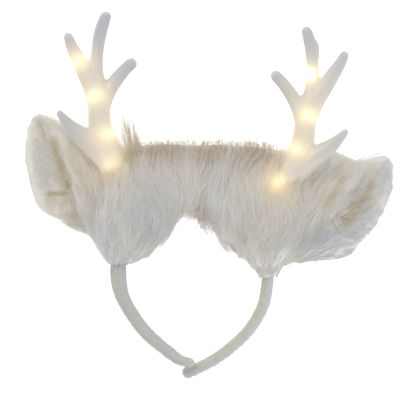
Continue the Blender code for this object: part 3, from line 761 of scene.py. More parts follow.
# %% The lie of the pile
LEFT_GATHER = np.array((-50.5, -78.0)) * MM
RIGHT_GATHER = np.array((50.0, -90.0)) * MM
LEFT_RISE = np.array((-1.0, 12.0)) * MM
RIGHT_RISE = np.array((4.0, 30.0)) * MM
TINY = 1e-9
PARTING = 14 * MM
LEAST_RUN = 6 * MM
SPLAY, SPLAY_FROM_TO = 0.40, (12 * MM, 45 * MM)
OUTER_FROM_TO = (58 * MM, 78 * MM)
GATHER_BELOW = (-14 * MM, 30 * MM)
GATHER_BEYOND = (52 * MM, 66 * MM)
CALM_OUTSIDE, CALM_BELOW = 0.6, (28 * MM, 58 * MM)
Ruffle = namedtuple("Ruffle", "turn reach offset")
RUFFLES = (Ruffle(1.1, 24 * MM, (5.3, 2.1, 0.4)), Ruffle(0.55, 8 * MM, (1.7, 8.2, 3.9)))
DROP_ON_SIDES = 1.6


def smooth_step(value, low, high):
    share = np.clip((value - low) / (high - low), 0, 1)
    return share * share * (3 - 2 * share)


def turned(way, angle):
    return np.array((
        way[0] * math.cos(angle) - way[1] * math.sin(angle),
        way[0] * math.sin(angle) + way[1] * math.cos(angle),
    ))


def ruffle(x, y):
    """How far handling has turned the pile there, in radians. It lies calm near the cuffs."""
    place = Vector((x, y, 0))
    turn = sum(r.turn * noise.noise(place / r.reach + Vector(r.offset)) for r in RUFFLES)
    return turn * (1.0 - smooth_step(-y, *CALM_BELOW))


def lie_of_pile(x, y):
    """The way the pile lies, seen from above: down, then towards the nearer gather."""
    side = 0.5 + 0.5 * math.tanh(x / PARTING)
    away = SPLAY * smooth_step(abs(x), *SPLAY_FROM_TO) * (-1 if x > 0 else 1)
    falling = np.array((away, -1.0))
    falling /= np.hypot(*falling)
    gathering = np.zeros(2)
    outer = smooth_step(abs(x), *OUTER_FROM_TO)
    gathers = ((1 - side, LEFT_GATHER, LEFT_RISE), (side, RIGHT_GATHER, RIGHT_RISE))
    for share, target, rise in gathers:
        run = target + rise * outer - (x, y)
        gathering += share * run / max(np.hypot(*run), LEAST_RUN)
    blend = max(smooth_step(-y, *GATHER_BELOW), smooth_step(abs(x), *GATHER_BEYOND))
    ruffled = ruffle(x, y) * (1 - CALM_OUTSIDE * outer)
    way = turned(falling * (1 - blend) + gathering * blend, ruffled)
    return way / max(np.hypot(*way), TINY)


def towards(x, y):
    """A lie that makes for one place, given in millimetres."""

    def lie(from_x, from_y):
        run = np.array((x * MM - from_x, y * MM - from_y))
        return run / max(np.hypot(*run), TINY)

    return lie


def flow_on(surface_normal, x, y, lie=lie_of_pile, turn=0.0):
    """The lie of the pile laid onto a surface. On a side it climbs or drops as it must."""
    way = turned(lie(x, y), turn)
    flat = Vector((way[0], way[1], 0.0))
    facing = surface_normal.dot(flat)
    flow = flat + Vector((0, 0, -DROP_ON_SIDES * facing))
    flow -= surface_normal * surface_normal.dot(flow)
    return flow.normalized() if flow.length > TINY else DOWN


print("at the crown the pile lies", np.round(lie_of_pile(0.0, 0.02), 2))

# %% [markdown]
# A guide line leaves its root a little upright, arches over and lies down. At each stride it
# looks up the nearest point of the ground below it and keeps the height that the arch asks for,
# so it neither sinks into the body nor floats. The ground is one skin over all the bodies with
# its valleys filled, because real pile bridges the gaps between them.

# %% Guide lines that walk over a body
Guide = namedtuple("Guide", "points normal loose")
ROW_OF_ROOTS = 5 * MM
GUIDE_STEPS, STRIDES = 4, 3
RISE_AT_ROOT = 0.15
ARCH_START, ARCH_RUN = 0.15, 0.75
DROOP = 0.35
UNEVEN = (0.85, 1.15)
STIFF = 0.55
LEAST_LIFT = 0.4
CUFFS_FROM_TO = (14 * MM, 38 * MM)
HELD_AT_CUFFS = 0.85


def spaced_roots(mesh, count, weight, seed):
    """Evenly spaced places on a mesh, each with its normal. weight says where they crowd.

    The faces are put in order row by row, to and fro, and every so much of the running total
    of their weights gives a root. So roots neither bunch up nor form a grid.
    """
    rng = np.random.default_rng(seed)
    middles, normals = numbers_of(mesh.polygons, "center"), numbers_of(mesh.polygons, "normal")
    chance = numbers_of(mesh.polygons, "area", 1)[:, 0] * weight(middles, normals)
    row = np.floor(middles[:, 1] / ROW_OF_ROOTS).astype(int)
    snake = np.where(row % 2 == 0, middles[:, 0], -middles[:, 0])
    order = np.lexsort((snake, row))
    running = np.cumsum(chance[order])
    marks = (np.arange(count) + rng.random(count)) / count * running[-1]
    chosen = order[np.searchsorted(running, marks)]
    return [(Vector(middles[i]), Vector(normals[i])) for i in chosen]


def walk(ground, root, normal, length, lift, stiff, lie=lie_of_pile, turn=0.0):
    """A line that leaves the ground at root and lies down along the flow."""
    points, place = [root.copy()], root.copy()
    lift *= LEAST_LIFT + (1 - LEAST_LIFT) * looseness(root)
    way = (flow_on(normal, root.x, root.y, lie, turn) + normal * RISE_AT_ROOT).normalized()
    strides = GUIDE_STEPS * STRIDES
    for step in range(1, strides + 1):
        share = step / strides
        place = place + way * length / strides
        near, face_normal, _, _ = ground.find_nearest(place)
        height = (place - near).dot(face_normal)
        wanted = lift * math.sin(math.pi * min(ARCH_START + ARCH_RUN * share, 1.0))
        if height < wanted:
            place += face_normal * (wanted - height)
        flow = flow_on(face_normal, place.x, place.y, lie, turn)
        fall = DOWN * DROOP if height > 2 * lift else Vector()
        way = (way * stiff + flow * (1 - stiff) + fall).normalized()
        place.z = max(place.z, FLOOR_GAP)
        if step % STRIDES == 0:
            points.append(place.copy())
    return Guide(points, normal, looseness(root))


def looseness(root):
    """Pile lies close to the band near the cuffs, and is loose elsewhere."""
    return float(1.0 - HELD_AT_CUFFS * smooth_step(-root.y, *CUFFS_FROM_TO))


def guides_over(mesh, ground, count, weight, length, seed, lift, unruly, keep):
    """Guide lines over a mesh. length gives each root's own, and keep may refuse one."""
    rng = np.random.default_rng(seed)
    made = []
    for root, normal in spaced_roots(mesh, count, weight, seed):
        run = length(root, normal) * rng.uniform(*UNEVEN)
        turn = rng.normal(0.0, unruly)
        if run > 0:
            made.append(walk(ground, root, normal, run, lift * MM, STIFF, turn=turn))
    return [g for g in made if keep(g)]


def filled(mesh, passes):
    """Fills the valleys of a closed mesh. A point moves towards its neighbours, but never in."""
    for _ in range(passes):
        points, normals = points_of(mesh), normals_of(mesh)
        outwards = np.sum((relaxed(mesh, 5) - points) * normals, axis=1)
        move_points(mesh, points + normals * np.maximum(outwards, 0)[:, None])
    return mesh


print("guide helpers ready")

# %% [markdown]
# ## Tints and painted shade of the pile
#
# The pile is white, but it doesn't look the same everywhere. It is taupe along the top, where it
# parts. In the hollow of the left ear the same taupe is painted in as shade, and where the pile
# faces away from the warm light a bluish painted shade stands for the cool light. A table of soft
# patches says how warm or cool each place is. Every point of hair and body stores that, together
# with the painted shade of the folds.

# %% The table of tints, in millimetres
# warm: taupe along the top and in the tufts and curls, and painted shade in the hollow of the left ear.
# cool: a bluish painted shade.
Patch = namedtuple("Patch", "x y reach_x reach_y warm cool")
PATCHES = (
    Patch(-22, 27, 24, 11, 0.9, 0.0),
    Patch(-40, 42, 12, 14, 0.9, 0.0),
    Patch(-41, 21, 7, 8, 1.0, 0.0),
    Patch(-78, 12, 12, 20, 0.2, 0.0),
    Patch(-50, -53, 12, 10, 0.0, 0.5),
    Patch(50, -60, 13, 12, 0.1, 0.3),
    Patch(100, -36, 22, 11, 0.0, 0.7),
    Patch(12, 26, 16, 11, 1.0, 0.0),
    Patch(40, 24, 24, 13, 0.8, 0.0),
    Patch(6, -24, 7, 12, 0.7, 0.0),
    Patch(-90, -10, 10, 6, 0.5, 0.0),
    Patch(-83, -21, 8, 6, 0.55, 0.0),
    Patch(-66, -28, 7, 16, 0.0, 0.5),
    Patch(-104, 43, 7, 7, 0.25, 0.0),
    Patch(-60, 10, 8, 10, 0.25, 0.0),
    Patch(62, 4, 16, 10, 0.3, 0.0),
    Patch(95, -38, 18, 7, 0.15, 0.45),
    Patch(-30, -20, 18, 26, 0.0, 0.5),
    Patch(-62, -34, 10, 16, 0.0, 0.55),
    Patch(-98, 14, 8, 16, 0.1, 0.1),
    Patch(78, -38, 20, 9, 0.0, 0.5),
    Patch(135, 3, 5, 26, 0.0, 0.8),
    Patch(124, -24, 10, 12, 0.0, 0.8),
    Patch(18, -6, 12, 18, 0.0, 0.3),
    Patch(38, -32, 18, 18, 0.15, 0.1),
    Patch(-50, -50, 10, 12, 0.0, 0.35),
)


def store_tints(mesh, folds=()):
    """Gives each point of a mesh its warm, cool and shade numbers: taupe and painted shade, a bluish
    painted shade, and the folds' painted shade.
    """
    points = points_of(mesh)
    warm, cool = np.zeros(len(points)), np.zeros(len(points))
    for patch in PATCHES:
        across = (points[:, 0] / MM - patch.x) / patch.reach_x
        up = (points[:, 1] / MM - patch.y) / patch.reach_y
        near = np.exp(-(across**2) - up**2)
        warm = np.maximum(warm, patch.warm * near)
        cool = np.maximum(cool, patch.cool * near)
    set_number(mesh, "warm", warm)
    set_number(mesh, "cool", cool)
    if folds:
        set_number(mesh, "shade", fold_depth_and_shade(points, folds)[1])


TINTED = (
    (crown_pelt, ()),
    (left_pelt, LEFT_FOLDS), (left_plush, LEFT_FOLDS),
    (right_pelt, RIGHT_FOLDS), (right_plush, RIGHT_FOLDS),
)
for piece, folds in TINTED:
    store_tints(piece.data, folds)
print("patches:", len(PATCHES))

# %% Painted light on the band: creamy on the left of each leg, which faces the warm light, and bluish on the right, which faces the cool one
places, facing = points_of(band_cover.data), normals_of(band_cover.data)
right_leg = smooth_step(places[:, 0], -20 * MM, 20 * MM)
left_facing = np.clip(0.5 - 0.6 * facing[:, 0], 0, 1)
set_number(band_cover.data, "warm", np.zeros(len(places)))
# The creamy painted light is stored as shade, and the bluish painted light as cool.
set_number(band_cover.data, "shade", (0.15 + 0.40 * right_leg) * left_facing)
set_number(band_cover.data, "cool", (0.15 + 0.30 * right_leg) * (1 - left_facing))
print("points of the band that face left:", int(np.sum(facing[:, 0] < 0)))

# %% [markdown]
# ## A lock of strands
#
# A guide line becomes a curve, and Duplicate Elements makes as many copies of it as the lock has
# strands. Each copy is set a little aside, bent by a noise, cut to its own length and given a
# thin tapering body. The numbers stored on the guide line travel with it, so a strand knows its
# tint. Doing this in a tree keeps the script quick, because Blender places every strand at once.

# %% The tree that makes a lock of strands round each guide
PILE_INPUTS = {
    "Geometry": "Geometry", "Strands": "Int", "Spread": "Float", "Gather": "Float",
    "Wave": "Float", "Wave Scale": "Float", "Radius": "Float", "Shortest": "Float",
    "Seed": "Int", "Finish": "Material",
}
STRAND_SIDES = 3
TAPER, TAPER_POWER = 0.86, 2.2


def new_group(name, inputs):
    """A Geometry Nodes tree with named inputs, and a dict of their wires."""
    group = bpy.data.node_groups.new(name, "GeometryNodeTree")
    for label, kind in inputs.items():
        group.interface.new_socket(label, in_out="INPUT", socket_type=f"NodeSocket{kind}")
    group.interface.new_socket("Geometry", in_out="OUTPUT", socket_type="NodeSocketGeometry")
    source = group.nodes.new("NodeGroupInput")
    return group, Tree(group), {label: Wire(group, source.outputs[label]) for label in inputs}


def pile_group():
    """Curves from the guide lines, copied, moved, cut to length and given a body."""
    group, tree, given = new_group("long pile", PILE_INPUTS)
    curves = tree.add("GeometryNodeMeshToCurve", {"Mesh": given["Geometry"]})
    locks = tree.add(
        "GeometryNodeDuplicateElements",
        {"Geometry": curves, "Amount": given["Strands"]},
        domain="SPLINE",
    )
    strand = tree.add("GeometryNodeCurveOfPoint", out="Curve Index")

    def stored(name, kind="FLOAT"):
        values = {"Name": name}
        return tree.add("GeometryNodeInputNamedAttribute", values, "Attribute", data_type=kind)

    def chance(low, high, salt, kind="FLOAT"):
        values = {"Min": low, "Max": high, "ID": strand, "Seed": given["Seed"] + salt}
        return tree.add("FunctionNodeRandomValue", values, "Value", data_type=kind)

    along, loose = stored("along"), stored("loose")
    aside = chance((-1, -1, -1), (1, 1, 1), 1, "FLOAT_VECTOR")
    reach = given["Spread"] * loose * (1.0 - given["Gather"] * along)
    aside = tree.vector("SCALE", aside, scale=reach)
    height = chance(0.0, 1.1, 2) * given["Spread"] * loose
    raised = tree.vector("SCALE", stored("out", "FLOAT_VECTOR"), scale=height)

    where = tree.add("GeometryNodeInputPosition")
    own_place = chance((-9, -9, -9), (9, 9, 9), 3, "FLOAT_VECTOR")
    read_at = tree.vector("ADD", where, tree.vector("SCALE", own_place, scale=4 * MM))
    values = {"Vector": read_at, "Scale": given["Wave Scale"], "Detail": 1.0}
    wave = tree.vector("SUBTRACT", tree.add("ShaderNodeTexNoise", values, "Color"), (0.5, 0.5, 0.5))
    wave = tree.vector("SCALE", wave, scale=given["Wave"] * along)

    moved = tree.vector("ADD", tree.vector("ADD", aside, raised), wave)
    placed = tree.add("GeometryNodeSetPosition", {"Geometry": locks, "Offset": moved})
    values = {"Geometry": placed, "Name": "tone", "Value": chance(0.0, 1.0, 4)}
    toned = tree.add("GeometryNodeStoreNamedAttribute", values, domain="POINT")
    values = {"Curve": toned, "Start": 0.0, "End": chance(given["Shortest"], 1.0, 5)}
    cut = tree.add("GeometryNodeTrimCurve", values, mode="FACTOR")

    share = tree.add("GeometryNodeSplineParameter", out="Factor")
    thickness = (1.0 - TAPER * share**TAPER_POWER) * (0.75 + 0.5 * chance(0.0, 1.0, 6))
    values = {"Resolution": STRAND_SIDES, "Radius": given["Radius"]}
    ring = tree.add("GeometryNodeCurvePrimitiveCircle", values)
    values = {"Curve": cut, "Profile Curve": ring, "Scale": thickness, "Fill Caps": True}
    strands = tree.add("GeometryNodeCurveToMesh", values)
    smooth = tree.add("GeometryNodeSetShadeSmooth", {"Geometry": strands})
    real = tree.off_floor(tree.add("GeometryNodeRealizeInstances", {"Geometry": smooth}))
    done = tree.add("GeometryNodeSetMaterial", {"Geometry": real, "Material": given["Finish"]})
    plug(group, group.nodes.new("NodeGroupOutput").inputs["Geometry"], done)
    return group


PILE = pile_group()
print("the pile tree has", len(PILE.nodes), "nodes")

# %% Guide lines as a mesh, and a piece grown from a mesh
def guide_mesh(name, guides, folds=()):
    """Guide lines as loose edges, with the numbers that the strands need."""
    size = len(guides[0].points)
    points = [p for g in guides for p in g.points]
    edges = [(i * size + k, i * size + k + 1) for i in range(len(guides)) for k in range(size - 1)]
    mesh = bpy.data.meshes.new(name)
    mesh.from_pydata([tuple(p) for p in points], edges, [])
    set_number(mesh, "along", np.tile(np.linspace(0, 1, size), len(guides)))
    set_number(mesh, "loose", np.repeat([g.loose for g in guides], size))
    out = mesh.attributes.new("out", "FLOAT_VECTOR", "POINT")
    normals = np.repeat(np.array([tuple(g.normal) for g in guides]), size, axis=0)
    out.data.foreach_set("vector", normals.ravel().astype(np.float32))
    store_tints(mesh, folds)
    return mesh


def grown(name, group, source, **values):
    """The plain mesh that a Geometry Nodes tree makes from a source mesh."""
    thing = new_mesh_object(name, source)
    step = thing.modifiers.new("grow", "NODES")
    step.node_group = group
    for item in group.interface.items_tree:
        key = item.name.lower().replace(" ", "_")
        if item.in_out == "INPUT" and key in values:
            step[item.identifier] = values[key]
    mesh = applied(thing)
    mesh.name = name
    discard(thing)
    piece = new_mesh_object(name, mesh)
    print(name, "has", sum(len(f.vertices) - 2 for f in mesh.polygons), "triangles")
    return piece


print("growing helpers ready")

# %% [markdown]
# ## Finishes
#
# Every finish reads where it is on the object, or a number stored on its mesh. The lamps shine
# through the antlers and into the pile near them. A real one scatters light inside the plastic,
# which takes many samples to render cleanly. Here each point near a lamp gives off a little
# warm light instead, by how far it is from the lamp's middle.

# %% Light that spreads from the lamps
Lamp = namedtuple("Lamp", "x y z")
LAMPS = (
    Lamp(-78.0, 85.9, 36.0),
    Lamp(-66.4, 61.7, 36.0),
    Lamp(-59.7, 35.5, 36.0),
    Lamp(-56.2, 16.2, 35.0),
    Lamp(79.4, 76.8, 36.0),
    Lamp(78.9, 48.2, 36.0),
    Lamp(71.6, 25.2, 36.0),
    Lamp(56.8, 3.0, 43.0),
)
WARM_WHITE = (1.0, 0.80, 0.42)


def lamp_glow(tree, reach, sharpness):
    """1 at a lamp's middle, falling away over that reach in millimetres."""
    place = tree.add("ShaderNodeTexCoord", out="Object")
    total = 0.0
    for lamp in LAMPS:
        middle = tuple(v * MM for v in lamp)
        away = tree.vector("DISTANCE", place, middle, out="Value") / (reach * MM)
        total = total + 1.0 / (1.0 + away**2.0) ** sharpness
    return total


def scaled(tree, tint, share):
    """A colour, or three numbers, times a share."""
    return tree.vector("SCALE", tint, scale=share)


print("lamps:", len(LAMPS))

# %% The pile's finishes
WHITE = (0.775, 0.76, 0.722)
# Painted light in the pile's colours: the taupe also stands for shade in the ear's hollow, the bluish
# tint for cool light and shade, the olive for shade in the folds and warm light on the band, and the
# amber for lamplight.
TAUPE_AND_PAINTED_SHADE = (0.52, 0.435, 0.355)
COOL_PAINTED_LIGHT_AND_SHADE = (0.60, 0.635, 0.685)
OLIVE_PAINTED_SHADE_AND_LIGHT = (0.61, 0.555, 0.40)
AMBER_PAINTED_LAMPLIGHT = (0.72, 0.60, 0.42)
# A painted light: the pile gives off this share of its own tint, which lifts its shade.
SOFT_LIGHT = 0.18
HALO_SHARE, CORE_SHARE, PAINTED_LAMPLIGHT_SHARE = 0.38, 0.5, 0.55
MOTTLE_SCALE = 420.0
PILE_SHADER = {"Emission Strength": 1.0, "Roughness": 0.7, "Specular IOR Level": 0.15}


def pile_finish(name, white, hair, grain=0.12):
    """White pile with its tints, painted shade and painted lamplight. Hair is darker at its root, and
    strands differ by the grain.
    """
    material, shader, tree = plain_finish(name, PILE_SHADER)
    warm = tree.number("warm")
    if hair:
        warm = warm * (0.35 + 1.3 * tree.number("tone"))
    # Taupe along the top, and a painted shade in the hollow of the left ear.
    tint = tree.mix(warm, white, TAUPE_AND_PAINTED_SHADE)
    # A bluish painted shade where the pile faces away from the warm light; on the band, painted cool
    # light.
    tint = tree.mix(tree.number("cool"), tint, COOL_PAINTED_LIGHT_AND_SHADE)
    # Painted shade in the folds; on the band, painted warm light on the side that faces it.
    tint = tree.mix(tree.number("shade") * 0.85, tint, OLIVE_PAINTED_SHADE_AND_LIGHT)
    # Painted lamplight: the colour turns amber near the lamps.
    lit = lamp_glow(tree, reach=12.0, sharpness=1.5).most(1.0)
    tint = tree.mix(lit * PAINTED_LAMPLIGHT_SHARE, tint, AMBER_PAINTED_LAMPLIGHT)
    if hair:
        lightness = 0.86 + 0.14 * tree.number("along") + grain * (tree.number("tone") - 0.5)
    else:
        place = tree.add("ShaderNodeTexCoord", out="Object")
        values = {"Vector": place, "Scale": MOTTLE_SCALE, "Detail": 2.0}
        mottle = tree.add("ShaderNodeTexNoise", values)
        lightness = 0.90 + 0.06 * (mottle - 0.5)
    tint = scaled(tree, tint, lightness)
    plug(tree.tree, shader.inputs["Base Color"], tint)
    # Painted lamplight: a warm glow given off round each lamp.
    halo = lamp_glow(tree, reach=10.0, sharpness=2.0)
    core = lamp_glow(tree, reach=3.5, sharpness=3.0)
    glow = scaled(tree, WARM_WHITE, halo * HALO_SHARE + core * CORE_SHARE)
    # Painted light: a share of the pile's own tint is given off, which lifts its shade.
    glow = tree.vector("ADD", glow, scaled(tree, tint, SOFT_LIGHT))
    plug(tree.tree, shader.inputs["Emission Color"], glow)
    return material


LONG_PILE = pile_finish("long white pile", WHITE, hair=True)
PELT = pile_finish("backing of the pile", (0.74, 0.72, 0.685), hair=False)
SHORT_PLUSH = pile_finish("short white plush", (0.615, 0.59, 0.545), hair=False)
BAND_PLUSH = pile_finish("band plush", (0.455, 0.46, 0.445), hair=False)
BAND_NAP = pile_finish("band nap", (0.475, 0.48, 0.465), hair=True, grain=0.4)
SHORT_NAP = pile_finish("short nap", (0.67, 0.645, 0.60), hair=True)
print("pile finishes ready")

# %% Frosted plastic and lamps
LEFT_TIPS, RIGHT_TIPS = (0.44, 0.465, 0.515), (0.48, 0.50, 0.54)
MILKY_PAINTED_LAMPLIGHT = (0.46, 0.455, 0.46)
WIDE_LIGHT, NEAR_LIGHT, CORE_LIGHT = (0.24, 0.185, 0.085), (0.95, 0.74, 0.30), (1.0, 0.97, 0.88)
NEAR_SHARE, CORE_STRENGTH = 1.1, 2.6
TURN_OVER = 20.0
STREAK_SCALE = (500.0, 60.0, 500.0)
WIRE_TINT, BEAD_TINT = (0.62, 0.55, 0.42), (1, 0.9, 0.7)
FROSTED_SHADER = {
    "Emission Strength": 1.0,
    "Roughness": 0.36,
    "Subsurface Weight": 0.6,
    "Subsurface Radius": (1.0, 0.9, 0.75),
    "Subsurface Scale": 0.005,
}
LAMP_SHADER = {"Emission Strength": 1.0, "Roughness": 0.3}


def frosted_finish():
    """Milky plastic with painted lamplight: warm and bright round each lamp, and greyer at the tips."""
    material, shader, tree = plain_finish("frosted plastic", FROSTED_SHADER)
    wide = lamp_glow(tree, reach=15.0, sharpness=1.5)
    near = lamp_glow(tree, reach=6.0, sharpness=2.0)
    core = lamp_glow(tree, reach=3.4, sharpness=3.0)
    place = tree.add("ShaderNodeTexCoord", out="Object")
    side = tree.add("ShaderNodeSeparateXYZ", {"Vector": place}, "X")
    right_side = ((side / MM + TURN_OVER) / (2 * TURN_OVER)).least(0.0).most(1.0)
    tips = tree.mix(right_side, LEFT_TIPS, RIGHT_TIPS)
    # Painted lamplight in the base colour: milky near the lamps, greyer towards the tips, far from
    # them.
    body = tree.mix(wide.most(1.0), tips, MILKY_PAINTED_LAMPLIGHT)
    along_tines = tree.vector("MULTIPLY", place, STREAK_SCALE)
    values = {"Vector": along_tines, "Scale": 1.0, "Detail": 2.0}
    streaks = tree.add("ShaderNodeTexNoise", values)
    plug(tree.tree, shader.inputs["Base Color"], scaled(tree, body, 0.97 + 0.06 * streaks))
    # The warm glow round each lamp is painted light, given off by the plastic itself.
    light = scaled(tree, WIDE_LIGHT, wide)
    light = tree.vector("ADD", light, scaled(tree, NEAR_LIGHT, near * NEAR_SHARE))
    light = tree.vector("ADD", light, scaled(tree, CORE_LIGHT, core * CORE_STRENGTH))
    plug(tree.tree, shader.inputs["Emission Color"], light)
    return material


def lamp_finish():
    """Clear warm resin, bright at each lamp and dull along the wire."""
    material, shader, tree = plain_finish("lamp resin and wire", LAMP_SHADER)
    glow = lamp_glow(tree, reach=3.0, sharpness=2.0)
    tint = tree.mix(glow, WIRE_TINT, BEAD_TINT)
    plug(tree.tree, shader.inputs["Base Color"], tint)
    plug(tree.tree, shader.inputs["Emission Color"], scaled(tree, WARM_WHITE, glow * 2.0))
    return material


FROSTED = frosted_finish()
LAMP_RESIN = lamp_finish()
print("frosted plastic and lamp resin ready")

# %% One finish for each piece
def coat(piece, material):
    """Gives a piece its one finish."""
    piece.data.materials.clear()
    piece.data.materials.append(material)


for piece, material in (
    (band_cover, BAND_PLUSH),
    (crown_pelt, PELT),
    (left_pelt, PELT),
    (right_pelt, PELT),
    (left_plush, SHORT_PLUSH),
    (right_plush, SHORT_PLUSH),
    (left_shell, FROSTED),
    (right_shell, FROSTED),
    (frame["nodes"]["left_lights"], LAMP_RESIN),
    (frame["nodes"]["right_lights"], LAMP_RESIN),
):
    coat(piece, material)
print("finishes:", len(bpy.data.materials))

# %% [markdown]
# ## Growing the pile
#
# The wrap carries the longest pile. The ears carry it on the side that folds over and round the
# root, and only a short nap in the hollow. Strands never cross the antlers above the fur line,
# so guides that would are left out. Lower down they are laid over the antler's root, which
# hides it as on the real piece. A few short rows run out over the band at each cuff, and the
# far side gets its own rows, which climb from the floor to the top edge.

# %% Where each ear is, and how long its pile is
EarFrame = namedtuple("EarFrame", "root_x root_y points side along crest open_from")
EAR_LENGTH, EAR_WIDTH = 92.0 * MM, 34.3 * MM
RIM_PILE, LEAST_PILE = 5.5, 1.5
LEFT_EAR = EarFrame(
    -55.6, -26.1, 125.0, 1,
    (-0.12, 0.00, 0.19, 0.31, 0.42, 0.60, 0.78, 0.88, 0.95, 1.00),
    (-0.10, 0.00, 0.06, 0.03, -0.02, -0.12, -0.16, -0.12, -0.06, 0.00),
    0.36,
)
RIGHT_EAR = EarFrame(
    58.4, -35.0, 35.1, -1,
    (-0.12, 0.00, 0.20, 0.37, 0.44, 0.60, 0.72, 0.81, 0.91, 0.98, 1.02),
    (-0.04, 0.04, 0.10, 0.06, 0.02, -0.06, -0.16, -0.16, -0.10, -0.04, 0.00),
    0.42,
)


def on_ear(ear, x, y):
    """How far along an ear a place is, and how far past the crest towards the rim."""
    turn = math.radians(ear.points)
    forward = (math.cos(turn), math.sin(turn))
    dx, dy = x - ear.root_x * MM, y - ear.root_y * MM
    along = (dx * forward[0] + dy * forward[1]) / EAR_LENGTH
    across = (-dx * forward[1] + dy * forward[0]) * ear.side / EAR_WIDTH
    return along, across - np.interp(along, ear.along, ear.crest)


def ear_pile_length(ear, flap, lobe, dish):
    """The pile's length at a root: long on the flap, shorter on the lobe, least in the dish."""

    def length(root, normal):
        along, past = on_ear(ear, root.x, root.y)
        opened = smooth_step(along, ear.open_from - 0.1, ear.open_from)
        hollow = smooth_step(past, -0.02, 0.10) * opened
        hollow *= smooth_step(normal.z, 0.0, 0.3)
        run = flap + (lobe - flap) * smooth_step(past, 0.0, 0.25)
        run *= 1.0 - 0.35 * smooth_step(along, 0.6, 1.0)
        run *= 1.0 - 0.7 * smooth_step(-normal.z, -0.35, 0.3)
        rim = smooth_step(past, 0.45, 0.7) * smooth_step(along, 0.3, 0.45)
        run += (RIM_PILE - run) * rim
        run += (dish - run) * hollow
        return run * MM if run > LEAST_PILE else 0.0

    return length


print("the ears' dishes open at", LEFT_EAR.open_from, "and", RIGHT_EAR.open_from)

# %% Where roots may stand, and what strands lie on
FUR_LINES = (17.0 * MM, 3.0 * MM)
CLEARANCE, OVERHANG = 1.0 * MM, 1.2 * MM
BRIDGE_FACE, FILLING_PASSES = 2.4 * MM, 100


def upper_side(middles, normals):
    """Roots crowd where the camera sees them, and thin out underneath."""
    return 0.15 + 0.85 * smooth_step(normals[:, 2], -0.6, 0.3)


antlers_tree = tree_over(left_shell.data, right_shell.data)


def clear_of_antlers(guide):
    """False for a guide that crosses an antler above the fur line."""
    for point in guide.points:
        line = FUR_LINES[0] if point.x < 0 else FUR_LINES[1]
        near, normal, _, distance = antlers_tree.find_nearest(point)
        inside = (point - near).dot(normal) < 0
        over = math.hypot(point.x - near.x, point.y - near.y) < OVERHANG
        if point.y > line and (inside or (over and point.z > near.z) or distance < CLEARANCE):
            return False
    return True


SOLIDS = (crown_pelt, left_pelt, right_pelt, left_shell, right_shell)
bridged = even_skin(joined(*(piece.data.copy() for piece in SOLIDS)), BRIDGE_FACE)
over_all = tree_over(filled(bridged, FILLING_PASSES))
print("faces of the ground that strands lie on:", len(bridged.polygons))
bpy.data.meshes.remove(bridged)

# %% The crown's pile
CROWN_RUN, LESS_AT_CUFFS, LOW_SIDE_RUN = 34.0, 24.0, 8.0
CROWN_GUIDES = 720


def long_pile(name, guides, folds=(), **sizes):
    """Locks of strands round guide lines. Spread, wave and radius come in millimetres."""
    for size in ("spread", "wave", "radius"):
        sizes[size] *= MM
    return grown(name, PILE, guide_mesh("guides", guides, folds), finish=LONG_PILE, **sizes)


def crown_length(root, normal):
    """Long pile that shortens towards the cuffs and low on the side away from the face."""
    run = CROWN_RUN - LESS_AT_CUFFS * smooth_step(-root.y, 22 * MM, 52 * MM)
    run *= 1.0 - 0.5 * smooth_step(-normal.z, 0.0, 0.5)
    low_side = normal.y > 0.3 and root.z < 28 * MM
    return min(run, LOW_SIDE_RUN) * MM if low_side else run * MM


def half_weight(side):
    """Roots on one half of the wrap. They crowd along the top, where pile turns over the edge."""

    def weight(middles, normals):
        top = smooth_step(normals[:, 1], 0.0, 0.6) * smooth_step(middles[:, 2], 26 * MM, 32 * MM)
        half = middles[:, 0] * side > -1.0 * MM
        return upper_side(middles, normals) * (1 + 1.6 * top) * half

    return weight


crown_hair = []
for label, side, seed in (("left", -1, 11), ("right", 1, 12)):
    guides = guides_over(
        crown_pelt.data, over_all, CROWN_GUIDES, half_weight(side), crown_length, seed,
        lift=1.1, unruly=0.16, keep=clear_of_antlers,
    )
    crown_hair.append(long_pile(
        f"crown_hair_{label}", guides, strands=10, spread=2.3, gather=0.1,
        wave=1.6, wave_scale=60.0, radius=0.105, shortest=0.5, seed=seed,
    ))

# %% Pile on the wrap's far side, which the camera doesn't see
FAR_GUIDES, FAR_RUN = 180, 11 * MM


def far_side(middles, normals):
    """Roots low on the side away from the face."""
    low = 1.0 - smooth_step(middles[:, 2], 20 * MM, 27 * MM)
    return smooth_step(normals[:, 1], 0.15, 0.5) * low


def climb(x, y):
    """On the far side the pile comes up from the floor and turns over the top."""
    return np.array((0.25 * math.sin(x / (9 * MM)), -1.0))


far_guides = []
for root, normal in spaced_roots(crown_pelt.data, FAR_GUIDES, far_side, 53):
    far_guides.append(walk(over_all, root, normal, FAR_RUN, 0.7 * MM, 0.5, climb))
far_pile = long_pile(
    "far_side_pile", far_guides, strands=9, spread=2.3, gather=0.1,
    wave=1.2, wave_scale=70.0, radius=0.11, shortest=0.5, seed=53,
)

